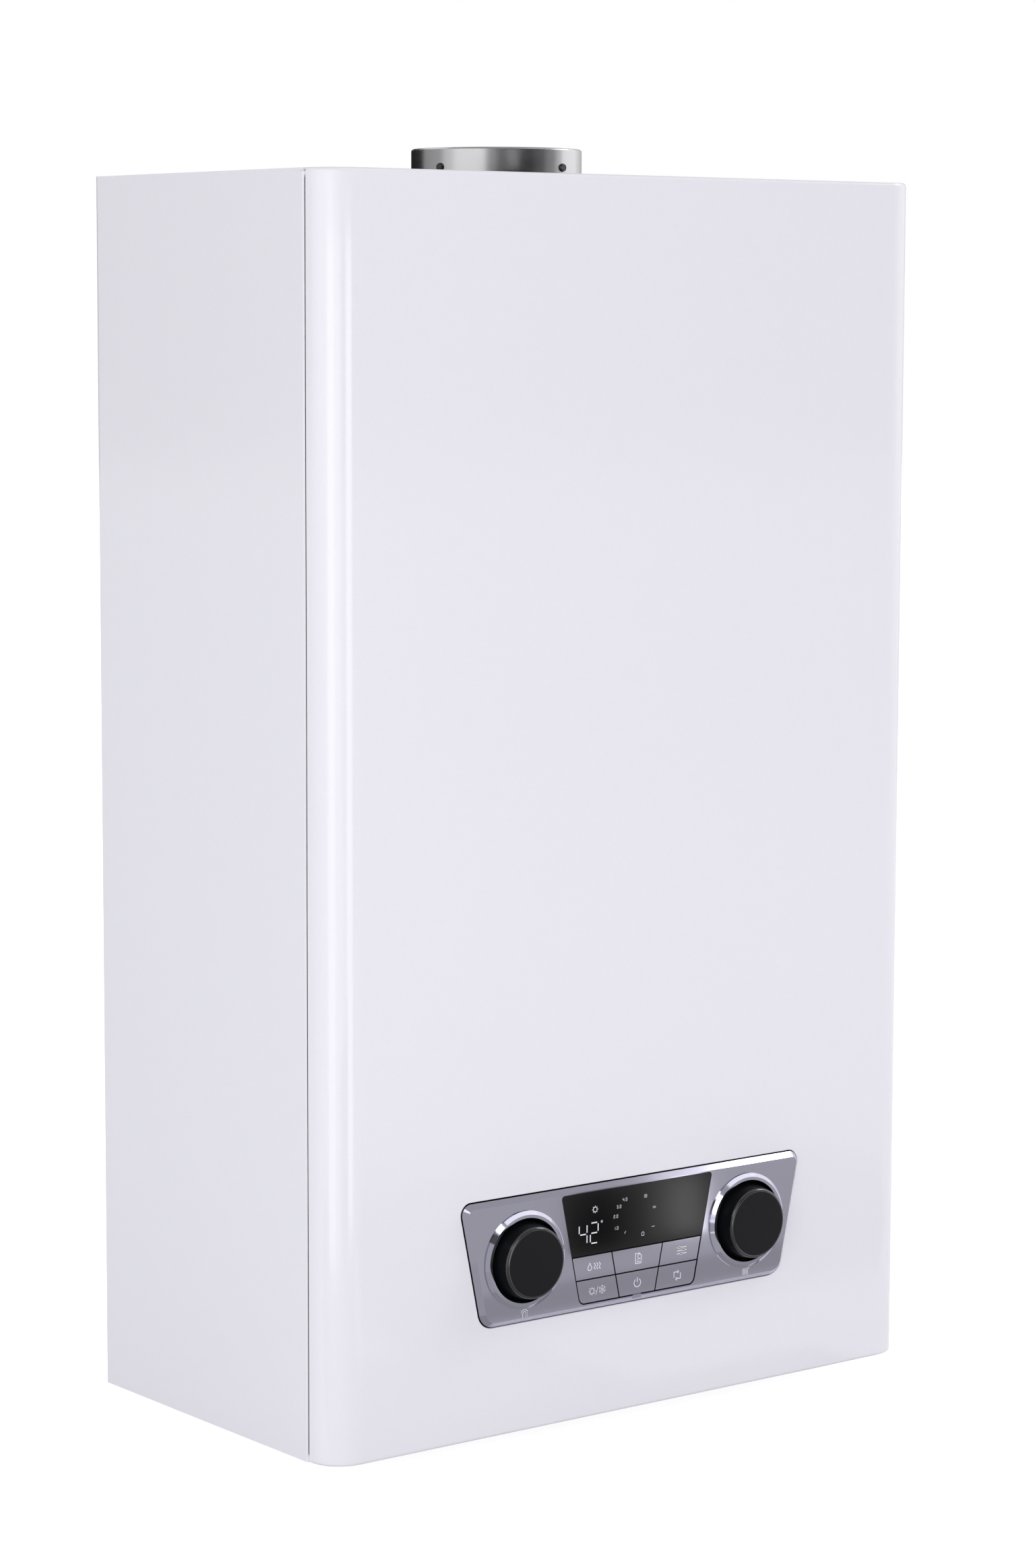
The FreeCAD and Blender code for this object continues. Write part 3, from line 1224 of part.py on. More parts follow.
def pump():
    """The pump on the return connection, its motor facing the front, with air vent and relief valve."""
    port = D.large_thread
    boss_x = RETURN_X + 1.4 * port
    boss_top = PUMP_LEVEL + 2.4 * port
    relief_x = RETURN_X + 3.8 * port
    relief_level = PUMP_LEVEL - port
    pieces = [
        rod("pump_scroll", RETURN_X, port - LINE, PUMP_LEVEL, PUMP_REACH, 2 * port, "Y"),
        rod("pump_foot", RETURN_X, -LINE, SHOULDER_TOP, port, 2 * port),
        rod("pump_neck", RETURN_X, -LINE, PUMP_LEVEL, port, PUMP_TOP - PUMP_LEVEL),
        box("vent_boss", boss_x, -LINE - 0.8 * port, PUMP_LEVEL, 1.6 * port, 1.6 * port,
            boss_top - PUMP_LEVEL),
        rod("vent_bottle", boss_x + 0.8 * port, -LINE, boss_top, 0.7 * port, 1.1 * port),
        rod("vent_cap", boss_x + 0.8 * port, -LINE, boss_top + 1.1 * port, 0.3 * port, 0.4 * port),
        rod("relief_boss", RETURN_X, -LINE, relief_level, 0.6 * port, relief_x - 0.85 * port - RETURN_X,
            "X"),
    ]
    part(fuse("pump_body", pieces), "pump_body")
    motor = body("pump_motor", RETURN_X, -LINE - port, PUMP_LEVEL)
    wide, deep = 2.3 * port, 2.6 * port
    points = [(0, 0), (1.1 * wide, 0), (1.1 * wide, -0.12 * deep), (wide, -0.12 * deep),
              (wide, -0.85 * deep), (0.9 * wide, -deep), (0.25 * wide, -deep),
              (0.25 * wide, -0.95 * deep), (0, -0.95 * deep)]
    revolve(motor, outline(sketch(motor, "plan"), points))
    # The relief valve lies across the boss's end, with its drain down and its knob to the front
    long = 2.5 * port
    stem = 0.3 * port
    barrel = rod("relief_barrel", relief_x, port - LINE, relief_level, 0.85 * port, long, "Y")
    drain = rod("relief_drain", relief_x, -LINE, relief_level - 1.6 * port, 0.5 * port, 1.6 * port)
    drill = rod("relief_bore", relief_x, port - LINE - 0.5 * long, relief_level, stem + D.slide_gap,
                long, "Y")
    part(cut("relief_valve", fuse("relief_blank", [barrel, drain]), [drill]), "relief_valve")
    knob = body("relief_knob", relief_x, port - LINE - long - D.slide_gap, relief_level)
    grip = sketch(knob, "front")
    pad(knob, circle(grip, 0, 0, port), port)
    flute = circle(sketch(knob, "front", port), 1.12 * port, 0, 0.3 * port)
    ring_of(knob, pocket(knob, flute, port), flute, 6)
    pad(knob, circle(sketch(knob, "front"), 0, 0, stem), 0.4 * long, back=True)


def diverter():
    """The diverter valve on the flow connection, its motor on top."""
    port = D.large_thread
    tower = rod("diverter_tower", FLOW_X, -LINE, SHOULDER_TOP, 1.5 * port, DIVERTER_HEIGHT)
    arm = rod("diverter_arm", FLOW_X, 1.5 * port - LINE, DIVERTER_LEVEL, port, 3.4 * port, "Y")
    part(fuse("diverter_valve", [tower, arm]), "diverter_valve")
    side = 3 * port
    part(box("diverter_motor", FLOW_X - side / 2, -LINE - side / 2, SHOULDER_TOP + DIVERTER_HEIGHT,
             side, side, side), "diverter_motor")


DIVERTER_LEVEL = SHOULDER_TOP + DIVERTER_HEIGHT / 2


def gas_valve():
    """The gas valve on the gas connection, with two coils on its front, and the pipe to the burner."""
    port, size = D.large_thread, GAS_SIZE
    inlet = rod("gas_inlet", 0, -LINE, SHOULDER_TOP, port, port)
    block = box("gas_block", -size / 2, -LINE - size / 2, GAS_FOOT, size, 0.8 * size, size)
    coils = [rod("gas_coil", hand * size / 4, -LINE - size / 2, GAS_FOOT + 0.65 * size, size / 5,
                 size / 4, "Y") for hand in (-1, 1)]
    part(fuse("gas_valve", [inlet, block] + coils), "gas_valve")
    bar_y = CORE_FRONT + 1.6 * D.manifold_radius
    bar_foot = BURNER_FOOT + 0.5 * D.manifold_radius
    rise = GAS_FOOT + size
    middle = bar_foot - 1.1 * D.pipe_bend
    part(pipe("gas_pipe", [(0, -LINE, rise), (0, -LINE, middle), (0, -bar_y, middle),
                           (0, -bar_y, bar_foot)], 0.8 * D.large_pipe), "gas_pipe")


def plate_exchanger():
    """The plate heat exchanger behind the gas valve and the two water pipes that feed it."""
    plate = body("plate_exchanger")
    rear, front = FIELD_FRONT + D.small_pipe, LINE - 0.35 * GAS_SIZE
    half = PIPE_PITCH + D.small_pipe
    low = SHOULDER_TOP + 3 * D.large_thread
    high = low + 1.1 * GAS_SIZE
    pad(plate, rectangle(sketch(plate, "front", rear), -half, low, half, high), front - rear)
    count = 8
    step = (front - rear) / count
    for i in range(count):
        y = -front + step * (i + 0.35)
        groove = rectangle(sketch(plate, "plan", high), -half, y, half, y + D.sheet)
        pocket(plate, groove, D.small_pipe / 2)
    turn = (SHOULDER_TOP + low) / 2
    back = (rear + front) / 2
    water = []
    for name, x in (("hot_pipe", -1 * PIPE_PITCH), ("cold_pipe", PIPE_PITCH)):
        water.append(pipe(name, [(x, -LINE, SHOULDER_TOP), (x, -LINE, turn), (x, -back, turn),
                                 (x, -back, low)], D.small_pipe, 2 * D.small_pipe))
    group("water_pipes", water)


def heating_pipes():
    """The flow and return pipes between the heat exchanger, the diverter valve and the pump."""
    half, step = CORE_WIDTH / 2, CORE_DEPTH / 6
    run = HALF_WIDTH - D.side_pipe
    near_tube, far_tube = CORE_BACK + step, CORE_BACK + 5 * step
    flow = [(-half, -far_tube, TUBE_LEVEL), (-run, -far_tube, TUBE_LEVEL),
            (-run, -LINE, DIVERTER_LEVEL), (FLOW_X - 1.5 * D.large_thread, -LINE, DIVERTER_LEVEL)]
    part(pipe("flow_pipe", flow, D.large_pipe), "flow_pipe")
    knee = PUMP_TOP + 1.1 * D.pipe_bend
    back = [(RETURN_X, -LINE, PUMP_TOP), (RETURN_X, -LINE, knee), (run, -LINE, knee),
            (run, -near_tube, TUBE_LEVEL), (half, -near_tube, TUBE_LEVEL)]
    part(pipe("return_pipe", back, D.large_pipe), "return_pipe")


def tap_and_gland():
    """The filling tap with its handle below the floor, and the gland for the mains cable."""
    tap = body("filling_tap", TAP_X, -TAP_Y)
    stem = TAP_RADIUS / 2
    bore = stem + D.slide_gap
    neck = TAP_RADIUS - D.lens_gap
    foot, top = D.floor_recess - TAP_RADIUS, FLOOR_TOP + 3 * TAP_RADIUS
    points = [(bore, foot), (neck, foot), (neck, FLOOR_TOP), (1.5 * TAP_RADIUS, FLOOR_TOP),
              (1.5 * TAP_RADIUS, top), (0, top), (0, FLOOR_TOP + 2 * TAP_RADIUS),
              (bore, FLOOR_TOP + 2 * TAP_RADIUS)]
    revolve(tap, outline(sketch(tap, "front"), points))
    handle = body("filling_handle", TAP_X, -TAP_Y, foot - D.slide_gap)
    grip = circle(sketch(handle, "plan"), 0, 0, 1.5 * TAP_RADIUS)
    pad(handle, grip, foot - D.slide_gap + 0.8 * D.pipe_drop, back=True)
    flute = circle(sketch(handle, "plan"), 1.65 * TAP_RADIUS, 0, 0.4 * TAP_RADIUS)
    ring_of(handle, pocket(handle, flute, 2 * D.pipe_drop), flute, 6)
    pad(handle, circle(sketch(handle, "plan"), 0, 0, stem), 2.5 * TAP_RADIUS)
    gland = body("cable_gland", GLAND_X, -GLAND_Y)
    neck = GLAND_RADIUS - D.lens_gap
    bore = 0.6 * GLAND_RADIUS
    foot = D.floor_recess - 2 * GLAND_RADIUS
    nut = FLOOR_TOP + GLAND_RADIUS
    points = [(bore, foot), (1.2 * GLAND_RADIUS, foot), (1.5 * GLAND_RADIUS, foot + GLAND_RADIUS),
              (1.5 * GLAND_RADIUS, D.floor_recess), (neck, D.floor_recess), (neck, FLOOR_TOP),
              (1.5 * GLAND_RADIUS, FLOOR_TOP), (1.5 * GLAND_RADIUS, nut), (bore, nut)]
    revolve(gland, outline(sketch(gland, "front"), points))


def main():
    """Builds every sub-part, checks it and writes it."""
    side_panel("left_side_panel", -1)
    side_panel("right_side_panel", 1)
    rear_panel()
    wall_bracket()
    lid_and_floor()
    front_cover()
    cover_fixings()
    control_bezel()
    display()
    buttons()
    key_support()
    knobs()
    control_box()
    flue_parts()
    fan()
    flue_hood()
    heat_exchanger()
    combustion()
    vessel_and_switch()
    connectors()
    pump()
    diverter()
    gas_valve()
    plate_exchanger()
    heating_pipes()
    tap_and_gland()
    doc.recompute()
    failed = [o.Label for o in doc.Objects if {"Invalid", "Error"} & set(o.State)]
    broken = [o.Label for o in PARTS if o.Shape.isNull() or not o.Shape.isValid()]
    if failed or broken:
        raise RuntimeError(f"failed: {failed}; broken shapes: {broken}")
    os.makedirs("parts", exist_ok=True)
    for thing in PARTS:
        thing.Shape.exportStep(os.path.join("parts", f"{thing.Label}.step"))


main()
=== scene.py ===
"""Looks of a wall-hung gas boiler: its finishes, printed signs, lit display, studio and camera.

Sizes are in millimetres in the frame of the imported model: x to the right, y from the front (negative)
to the wall, z upwards. Heights called levels are measured from the case's lower edge. Each mesh is
scaled to metres when it is made.
"""

import json
import logging
from collections.abc import Sequence
from dataclasses import dataclass, field
from enum import Enum
from math import cos, radians, sin, tau

import bmesh
import bpy
import numpy as np
from mathutils import Matrix, Vector

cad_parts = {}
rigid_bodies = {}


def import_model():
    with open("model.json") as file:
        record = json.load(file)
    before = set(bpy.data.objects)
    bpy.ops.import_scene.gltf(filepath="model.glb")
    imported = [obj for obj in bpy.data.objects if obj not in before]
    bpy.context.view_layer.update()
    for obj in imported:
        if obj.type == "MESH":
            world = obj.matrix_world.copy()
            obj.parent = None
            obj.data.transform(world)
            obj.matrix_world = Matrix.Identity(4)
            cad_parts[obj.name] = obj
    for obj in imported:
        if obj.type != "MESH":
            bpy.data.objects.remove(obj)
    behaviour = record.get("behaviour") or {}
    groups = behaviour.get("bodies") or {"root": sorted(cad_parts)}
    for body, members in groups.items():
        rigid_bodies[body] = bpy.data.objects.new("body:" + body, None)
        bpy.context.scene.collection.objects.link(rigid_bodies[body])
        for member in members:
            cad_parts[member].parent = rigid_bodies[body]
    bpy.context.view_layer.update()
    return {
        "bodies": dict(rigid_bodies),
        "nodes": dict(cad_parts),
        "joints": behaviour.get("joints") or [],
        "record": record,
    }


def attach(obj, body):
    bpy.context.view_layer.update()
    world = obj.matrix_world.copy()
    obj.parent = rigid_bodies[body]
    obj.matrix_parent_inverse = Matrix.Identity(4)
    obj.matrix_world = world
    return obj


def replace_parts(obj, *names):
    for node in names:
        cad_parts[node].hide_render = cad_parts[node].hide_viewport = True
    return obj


MM = 0.001
CASE_FOOT = -630.0
WELD_GAP = 0.002
CREASE_ANGLE = 30.0
WHITE = "#FFFFFF"
IMAGE_WIDTH = 1536
IMAGE_HEIGHT = 2328

log = logging.getLogger("boiler")

Grid = np.ndarray
Path = np.ndarray
Frame = dict[str, dict]
Place = tuple[float, float, float]


class Pattern(Enum):
    """What a surface shows close up, by the texture node that draws it."""

    GRAIN = "ShaderNodeTexNoise"
    CELLS = "ShaderNodeTexVoronoi"


def linear(colour: str) -> tuple[float, float, float, float]:
    """Turn an sRGB hex value into linear light.

    A channel c becomes c / 12.92 up to 0.04045, and ((c + 0.055) / 1.055) to the power 2.4 above it.

    Args:
        colour: Six hex digits after a hash sign.

    Returns:
        Red, green, blue and an alpha of 1.
    """
    channel = np.array([int(colour[i : i + 2], 16) for i in (1, 3, 5)]) / 255.0
    light = np.where(channel <= 0.04045, channel / 12.92, ((channel + 0.055) / 1.055) ** 2.4)
    return (*light.tolist(), 1.0)


def add(
    tree: bpy.types.NodeTree,
    kind: str,
    values: dict | None = None,
    links: dict | None = None,
    **settings: object,
) -> bpy.types.Node:
    """Add a node to a tree with its settings, input values and links.

    Args:
        tree: The material's or world's node tree.
        kind: The node's type name.
        values: Input name or number to the constant set on it.
        links: Input name or number to the output socket that feeds it.
        **settings: Properties of the node itself.

    Returns:
        The new node.
    """
    node = tree.nodes.new(kind)
    for name, value in settings.items():
        setattr(node, name, value)
    for key, value in (values or {}).items():
        node.inputs[key].default_value = value
    for key, socket in (links or {}).items():
        tree.links.new(socket, node.inputs[key])
    return node


def blank(name: str) -> bpy.types.Material:
    """Start a material whose node tree is still empty.

    Args:
        name: The material's name.

    Returns:
        The new material.
    """
    made = bpy.data.materials.new(name)
    made.use_nodes = True
    made.node_tree.nodes.clear()
    return made


@dataclass(frozen=True)
class Finish:
    """A material: two tones, a range of roughness and the relief of one small pattern."""

    name: str
    colour: str
    shade: str
    roughness: tuple[float, float]
    pattern: Pattern
    size: tuple[float, float, float]
    relief: float = 0.0
    metallic: float = 0.0
    ior: float = 1.5
    specular: float = 0.5
    glow: float = 0.0

    def material(self) -> bpy.types.Material:
        """Build the node material, or give the one that is there.

        Object coordinates divided by the pattern's size feed the texture. Its value mixes the two
        tones, spans the roughness and lifts the relief.

        Returns:
            The material under this finish's name.
        """
        made = bpy.data.materials.get(self.name)
        if made:
            return made
        made = blank(self.name)
        tree = made.node_tree
        place = add(tree, "ShaderNodeTexCoord")
        scale = tuple(1.0 / (MM * along) for along in self.size)
        spread = add(tree, "ShaderNodeMapping", {"Scale": scale}, {"Vector": place.outputs["Object"]})
        cell = add(tree, self.pattern.value, {"Scale": 1.0}, {"Vector": spread.outputs["Vector"]})
        value = cell.outputs["Color" if self.pattern is Pattern.CELLS else 0]
        tone = add(
            tree,
            "ShaderNodeMix",
            {6: linear(self.shade), 7: linear(self.colour)},
            {0: value},
            data_type="RGBA",
        )
        low, high = self.roughness
        polish = add(tree, "ShaderNodeMapRange", {"To Min": low, "To Max": high}, {"Value": value})
        shader = add(
            tree,
            "ShaderNodeBsdfPrincipled",
            {
                "Metallic": self.metallic,
                "IOR": self.ior,
                "Specular IOR Level": self.specular,
                "Emission Strength": self.glow,
                "Emission Color": linear(self.colour),
            },
            {"Base Color": tone.outputs[2], "Roughness": polish.outputs["Result"]},
        )
        if self.relief:
            bump = add(
                tree, "ShaderNodeBump", {"Strength": 1.0, "Distance": self.relief * MM}, {"Height": value}
            )
            tree.links.new(bump.outputs["Normal"], shader.inputs["Normal"])
        add(tree, "ShaderNodeOutputMaterial", links={"Surface": shader.outputs["BSDF"]})
        return made


# Powder-coated steel: a hard even white whose skin has a faint orange peel
WHITE_ENAMEL = Finish(
    "white_powder_enamel", "#E9E8ED", "#E6E5EA", (0.12, 0.15), Pattern.GRAIN, (1.6, 1.6, 1.6), 0.002
)
# Hot-dip zinc: cool grey crystals, each with its own tone and gloss
ZINC_SHEET = Finish(
    "galvanised_steel", "#B9BDC2", "#989DA3", (0.28, 0.5), Pattern.CELLS, (9.0, 9.0, 9.0), metallic=1.0
)
# Brushed stainless steel: fine rings round the flue, drawn wider than real so that they show
STAINLESS = Finish(
    "brushed_stainless", "#C9C9CC", "#B2B2B6", (0.2, 0.34), Pattern.GRAIN, (40.0, 40.0, 0.7), 0.004, 1.0
)
# Metallic lacquer on ABS: lavender silver that mirrors softly what stands before it
SILVER_LACQUER = Finish(
    "silver_lacquered_abs", "#CBC9DA", "#C7C5D6", (0.06, 0.08), Pattern.CELLS, (0.3, 0.3, 0.3), metallic=1.0
)
# Cast acrylic over a black mask: deep gloss with hardly any relief
BLACK_ACRYLIC = Finish(
    "black_acrylic", "#09090B", "#070709", (0.09, 0.12), Pattern.GRAIN, (25.0, 25.0, 25.0)
)
# Moulded ABS: satin black with a fine eroded skin
BLACK_ABS = Finish(
    "black_satin_abs",
    "#15151A",
    "#111116",
    (0.34, 0.44),
    Pattern.GRAIN,
    (0.5, 0.5, 0.5),
    0.003,
    specular=0.15,
)
# Eroded ABS on the knob's flank, drawn darker than the face's black and with its shine turned down: painted
# shade on the flank
BLACK_ABS_SHADED_FLANK = Finish(
    "black_abs_painted_flank_shade", "#0C0D10", "#090A0D", (0.3, 0.4), Pattern.GRAIN, (0.5, 0.5, 0.5), specular=0.06
)
# Polished ABS: the knob's rounded edge, deep black with sharp lights
BLACK_GLOSS_ABS = Finish(
    "black_gloss_abs", "#08080B", "#060608", (0.14, 0.18), Pattern.GRAIN, (6.0, 6.0, 6.0), specular=1.0
)
# Satin chrome: dark and bright bands that run into each other
SATIN_CHROME = Finish(
    "satin_chrome", "#CBCBCC", "#C5C5C7", (0.21, 0.25), Pattern.GRAIN, (9.0, 9.0, 0.6), 0.0, 1.0
)
# Oxidised steel screws: dark, with a dull shine on the rim
BLACKENED_STEEL = Finish(
    "blackened_steel", "#5A5A5C", "#454547", (0.3, 0.42), Pattern.GRAIN, (1.0, 1.0, 1.0), 0.0, 1.0
)
# Glass-filled nylon: dull black housings
BLACK_NYLON = Finish(
    "black_nylon", "#2B2B2D", "#222224", (0.45, 0.6), Pattern.GRAIN, (0.8, 0.8, 0.8), 0.01
)
# EPDM seal: dead matt dark grey
RUBBER = Finish("epdm_rubber", "#1C1C1E", "#151517", (0.75, 0.9), Pattern.GRAIN, (1.2, 1.2, 1.2), 0.02)
# Epoxy board under solder mask: green with darker fields
BOARD = Finish("solder_masked_board", "#2F6B3F", "#235434", (0.3, 0.45), Pattern.CELLS, (3.0, 3.0, 3.0))
# Drawn copper tube: warm and half bright, with darker patches of oxide
COPPER = Finish(
    "drawn_copper", "#D08B66", "#A9653F", (0.22, 0.42), Pattern.GRAIN, (12.0, 12.0, 12.0), 0.0, 1.0
)
# Forged and turned brass: yellow with a fine machined grain
BRASS = Finish(
    "forged_brass", "#D9B66A", "#B9944C", (0.22, 0.4), Pattern.GRAIN, (2.5, 2.5, 2.5), 0.01, 1.0
)
# Die-cast aluminium: pale grey, slightly pebbled
CAST_ALUMINIUM = Finish(
    "die_cast_aluminium", "#C3C5C8", "#A7AAAE", (0.4, 0.58), Pattern.GRAIN, (1.8, 1.8, 1.8), 0.03, 1.0
)
# Sand-cast iron under primer: dark and coarse
CAST_IRON = Finish(
    "painted_cast_iron", "#4A4D52", "#3A3D42", (0.5, 0.68), Pattern.GRAIN, (1.5, 1.5, 1.5), 0.06
)
# Baked red paint on the vessel: soft gloss with a slight peel
VESSEL_PAINT = Finish(
    "red_vessel_paint", "#A9241F", "#981E1A", (0.3, 0.4), Pattern.GRAIN, (2.0, 2.0, 2.0), 0.006
)
# Glazed alumina: off-white and glassy
CERAMIC = Finish(
    "glazed_alumina", "#EFEDE6", "#E4E1D8", (0.15, 0.25), Pattern.GRAIN, (2.0, 2.0, 2.0), ior=1.7
)
# Moulded polypropylene: red safety knob with a satin skin
RED_PLASTIC = Finish(
    "red_polypropylene", "#C2261F", "#AE211B", (0.36, 0.46), Pattern.GRAIN, (0.6, 0.6, 0.6), 0.006
)
# Screen-printed ink: pale and slightly uneven
PRINT_INK = Finish("pale_print_ink", "#E6E6EC", "#DADAE2", (0.4, 0.5), Pattern.GRAIN, (0.3, 0.3, 0.3))
# Lit segments behind the acrylic: white and even
LIT_SEGMENT = Finish(
    "lit_segment", "#C6C6CA", "#BDBDC2", (0.4, 0.5), Pattern.GRAIN, (0.6, 0.6, 0.6), glow=0.32
)


def dress(frame: Frame, finish: Finish, nodes: tuple[str, ...]) -> None:
    """Give CAD nodes a finish.

    Args:
        frame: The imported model.
        finish: The finish they get.
        nodes: Names of the nodes.
    """
    for name in nodes:
        for slot in frame["nodes"][name].material_slots:
            slot.material = finish.material()
        log.info("%s wears %s", name, finish.name)


def quads(rows: int, columns: int, start: int = 0) -> np.ndarray:
    """Number the corners of a grid's faces, (rows - 1) by (columns - 1) of them, as whole arrays.

    Args:
        rows: How many rows of points the grid has.
        columns: How many points each row has.
        start: The number of the grid's first point.

    Returns:
        Four point numbers for each face.
    """
    index = start + np.arange(rows * columns).reshape(rows, columns)
    corners = (index[:-1, :-1], index[:-1, 1:], index[1:, 1:], index[1:, :-1])
    return np.stack(corners, axis=-1).reshape(-1, 4)


def surface(name: str, patches: list[tuple[Grid, Finish]], body: str) -> bpy.types.Object:
    """Make one piece from grids of points, which coincide at seams and poles and are merged there.

    Args:
        name: The piece's name.
        patches: Arrays of m by n by 3 coordinates in millimetres, each with its finish.
        body: The CAD body that it moves with.

    Returns:
        The piece's object, at the origin.
    """
    grids = [grid for grid, _ in patches]
    finishes = list(dict.fromkeys(finish for _, finish in patches))
    corners = []
    dressing = []
    start = 0
    for grid, finish in patches:
        rows, columns = grid.shape[:2]
        corners.append(quads(rows, columns, start))
        dressing.append(np.full(len(corners[-1]), finishes.index(finish), dtype=np.int32))
        start += rows * columns
    points = np.concatenate([grid.reshape(-1, 3) for grid in grids]) * MM
    faces = np.concatenate(corners)
    mesh = bpy.data.meshes.new(name)
    mesh.vertices.add(len(points))
    mesh.vertices.foreach_set("co", points.astype(np.float32).ravel())
    mesh.loops.add(faces.size)
    mesh.loops.foreach_set("vertex_index", faces.astype(np.int32).ravel())
    mesh.polygons.add(len(faces))
    mesh.polygons.foreach_set("loop_start", np.arange(0, faces.size, 4, dtype=np.int32))
    for finish in finishes:
        mesh.materials.append(finish.material())
    mesh.polygons.foreach_set("material_index", np.concatenate(dressing))
    mesh.update(calc_edges=True)
    welded = bmesh.new()
    welded.from_mesh(mesh)
    bmesh.ops.remove_doubles(welded, verts=welded.verts, dist=WELD_GAP * MM)
    welded.to_mesh(mesh)
    welded.free()
    mesh.polygons.foreach_set("use_smooth", np.ones(len(mesh.polygons), dtype=bool))
    mesh.set_sharp_from_angle(angle=radians(CREASE_ANGLE))
    piece = bpy.data.objects.new(name, mesh)
    bpy.context.scene.collection.objects.link(piece)
    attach(piece, body)
    log.info("%s rides on %s in %s", name, body, ", ".join(finish.name for finish in finishes))
    return piece


def lathe(profile: Path, axis: tuple[float, float], steps: int = 96) -> Grid:
    """A round piece about a line from front to back.

    A profile point of radius r at depth y, turned by an angle, lies at the axis plus r times cosine
    and sine of the angle.

    Args:
        profile: Radius and depth of each point, from the front's middle outwards.
        axis: The axis's place across and its level.
        steps: How many steps go round.

    Returns:
        The grid, once round by along the profile.
    """
    angle = np.linspace(0.0, tau, steps + 1)[:, None]
    radius, depth = profile[:, 0], profile[:, 1]
    across = axis[0] + radius * np.cos(angle)
    rise = axis[1] + radius * np.sin(angle) + CASE_FOOT
    return np.stack([across, np.broadcast_to(depth, across.shape), rise], axis=-1)


def line(*points: tuple[float, float]) -> Path:
    """A path of straight runs through points in the front plane."""
    return np.array(points, dtype=float)


def arc(centre: tuple[float, float], radius: float, start: float, end: float, steps: int = 28) -> Path:
    """A circular path, by angle in degrees from the right, anticlockwise from the front.

    Args:
        centre: Its middle.
        radius: Its radius.
        start: The angle at which it begins.
        end: The angle at which it ends.
        steps: How many points it has.

    Returns:
        The points, centre plus radius times cosine and sine of the angle.
    """
    angle = np.radians(np.linspace(start, end, steps))
    return np.array(centre) + radius * np.column_stack([np.cos(angle), np.sin(angle)])


def ribbon(path: Path, width: float, depth: float) -> Grid:
    """A flat stroke along a path in the front plane.

    Each point is set off by half the width to both sides, across the mean direction of its two runs,
    and further at a corner, up to twice as far.

    Args:
        path: The points, across and up.
        width: The stroke's width.
        depth: The y of the plane that it lies in.

    Returns:
        Two rows of points, facing the front.
    """
    run = np.diff(path, axis=0)
    run = run / np.linalg.norm(run, axis=1, keepdims=True)
    closed = np.allclose(path[0], path[-1])
    before = np.vstack([run[-1] if closed else run[0], run])
    after = np.vstack([run, run[0] if closed else run[-1]])
    mean = before + after
    mean = mean / np.linalg.norm(mean, axis=1, keepdims=True)
    reach = 0.5 * width / np.clip(np.sum(mean * after, axis=1), 0.5, 1.0)
    across = np.column_stack([-mean[:, 1], mean[:, 0]]) * reach[:, None]
    edges = np.stack([path - across, path + across])
    return np.stack([edges[..., 0], np.full(edges.shape[:2], depth), edges[..., 1] + CASE_FOOT], axis=-1)


def disc(centre: tuple[float, float], radius: float) -> tuple[Path, float]:
    """A filled dot, as a ring as wide as its radius whose inner edge closes in the middle."""
    return arc(centre, radius / 2, 0.0, 360.0), radius


@dataclass(frozen=True)
class Sign:
    """A printed or lit sign: strokes round a centre on a flat face."""

    name: str
    centre: tuple[float, float]
    body: str
    depth: float
    finish: Finish
    slot: str
    stroke: float

    def draw(self, paths: Sequence[Path], dots: Sequence[tuple[Path, float]] = ()) -> bpy.types.Object:
        """Lay strokes and dots on the face.

        Args:
            paths: Lines of the sign, from its centre.
            dots: Filled dots, from its centre.

        Returns:
            The sign's piece.
        """
        strokes = [*((path, self.stroke) for path in paths), *dots]
        middle = np.array(self.centre)
        patches = [(ribbon(path + middle, width, self.depth), self.finish) for path, width in strokes]
        return surface(self.name, patches, self.body)


def sun(radius: float, centre: tuple[float, float] = (0.0, 0.0)) -> list[Path]:
    """A sun: a ring and eight rays, at 0.62 of the radius and from 0.8 to the full radius.

    Args:
        radius: From the middle to the rays' tips.
        centre: Its middle.

    Returns:
        The ring's path and one for each ray.
    """
    turn = np.linspace(0.0, tau, 8, endpoint=False)
    way = np.column_stack([np.cos(turn), np.sin(turn)])
    middle = np.array(centre)
    rays = [np.array([middle + 0.8 * radius * each, middle + radius * each]) for each in way]
    return [arc(centre, 0.62 * radius, 0.0, 360.0), *rays]


def snowflake(radius: float, centre: tuple[float, float] = (0.0, 0.0)) -> list[Path]:
    """A snowflake: six arms at 60 degrees, each with a small fork at about two thirds of its length.

    Args:
        radius: From the middle to the arms' tips.
        centre: Its middle.

    Returns:
        Two paths for each arm, its line and its fork.
    """
    middle = np.array(centre)
    fork_place, fork_reach, fork_lean = 0.62, 0.36, 0.9
    paths = []
    for turn in np.radians(np.arange(90.0, 450.0, 60.0)):
        tip = radius * np.array([cos(turn), sin(turn)])
        fork = [
            fork_place * tip + fork_reach * radius * np.array([cos(turn + lean), sin(turn + lean)])
            for lean in (fork_lean, -fork_lean)
        ]
        paths += [np.array([middle, middle + tip])]
        paths += [np.array([middle + fork[0], middle + fork_place * tip, middle + fork[1]])]
    return paths


SEGMENTS = {0: "abcdef", 1: "bc", 2: "abged", 3: "abgcd", 4: "fgbc"}


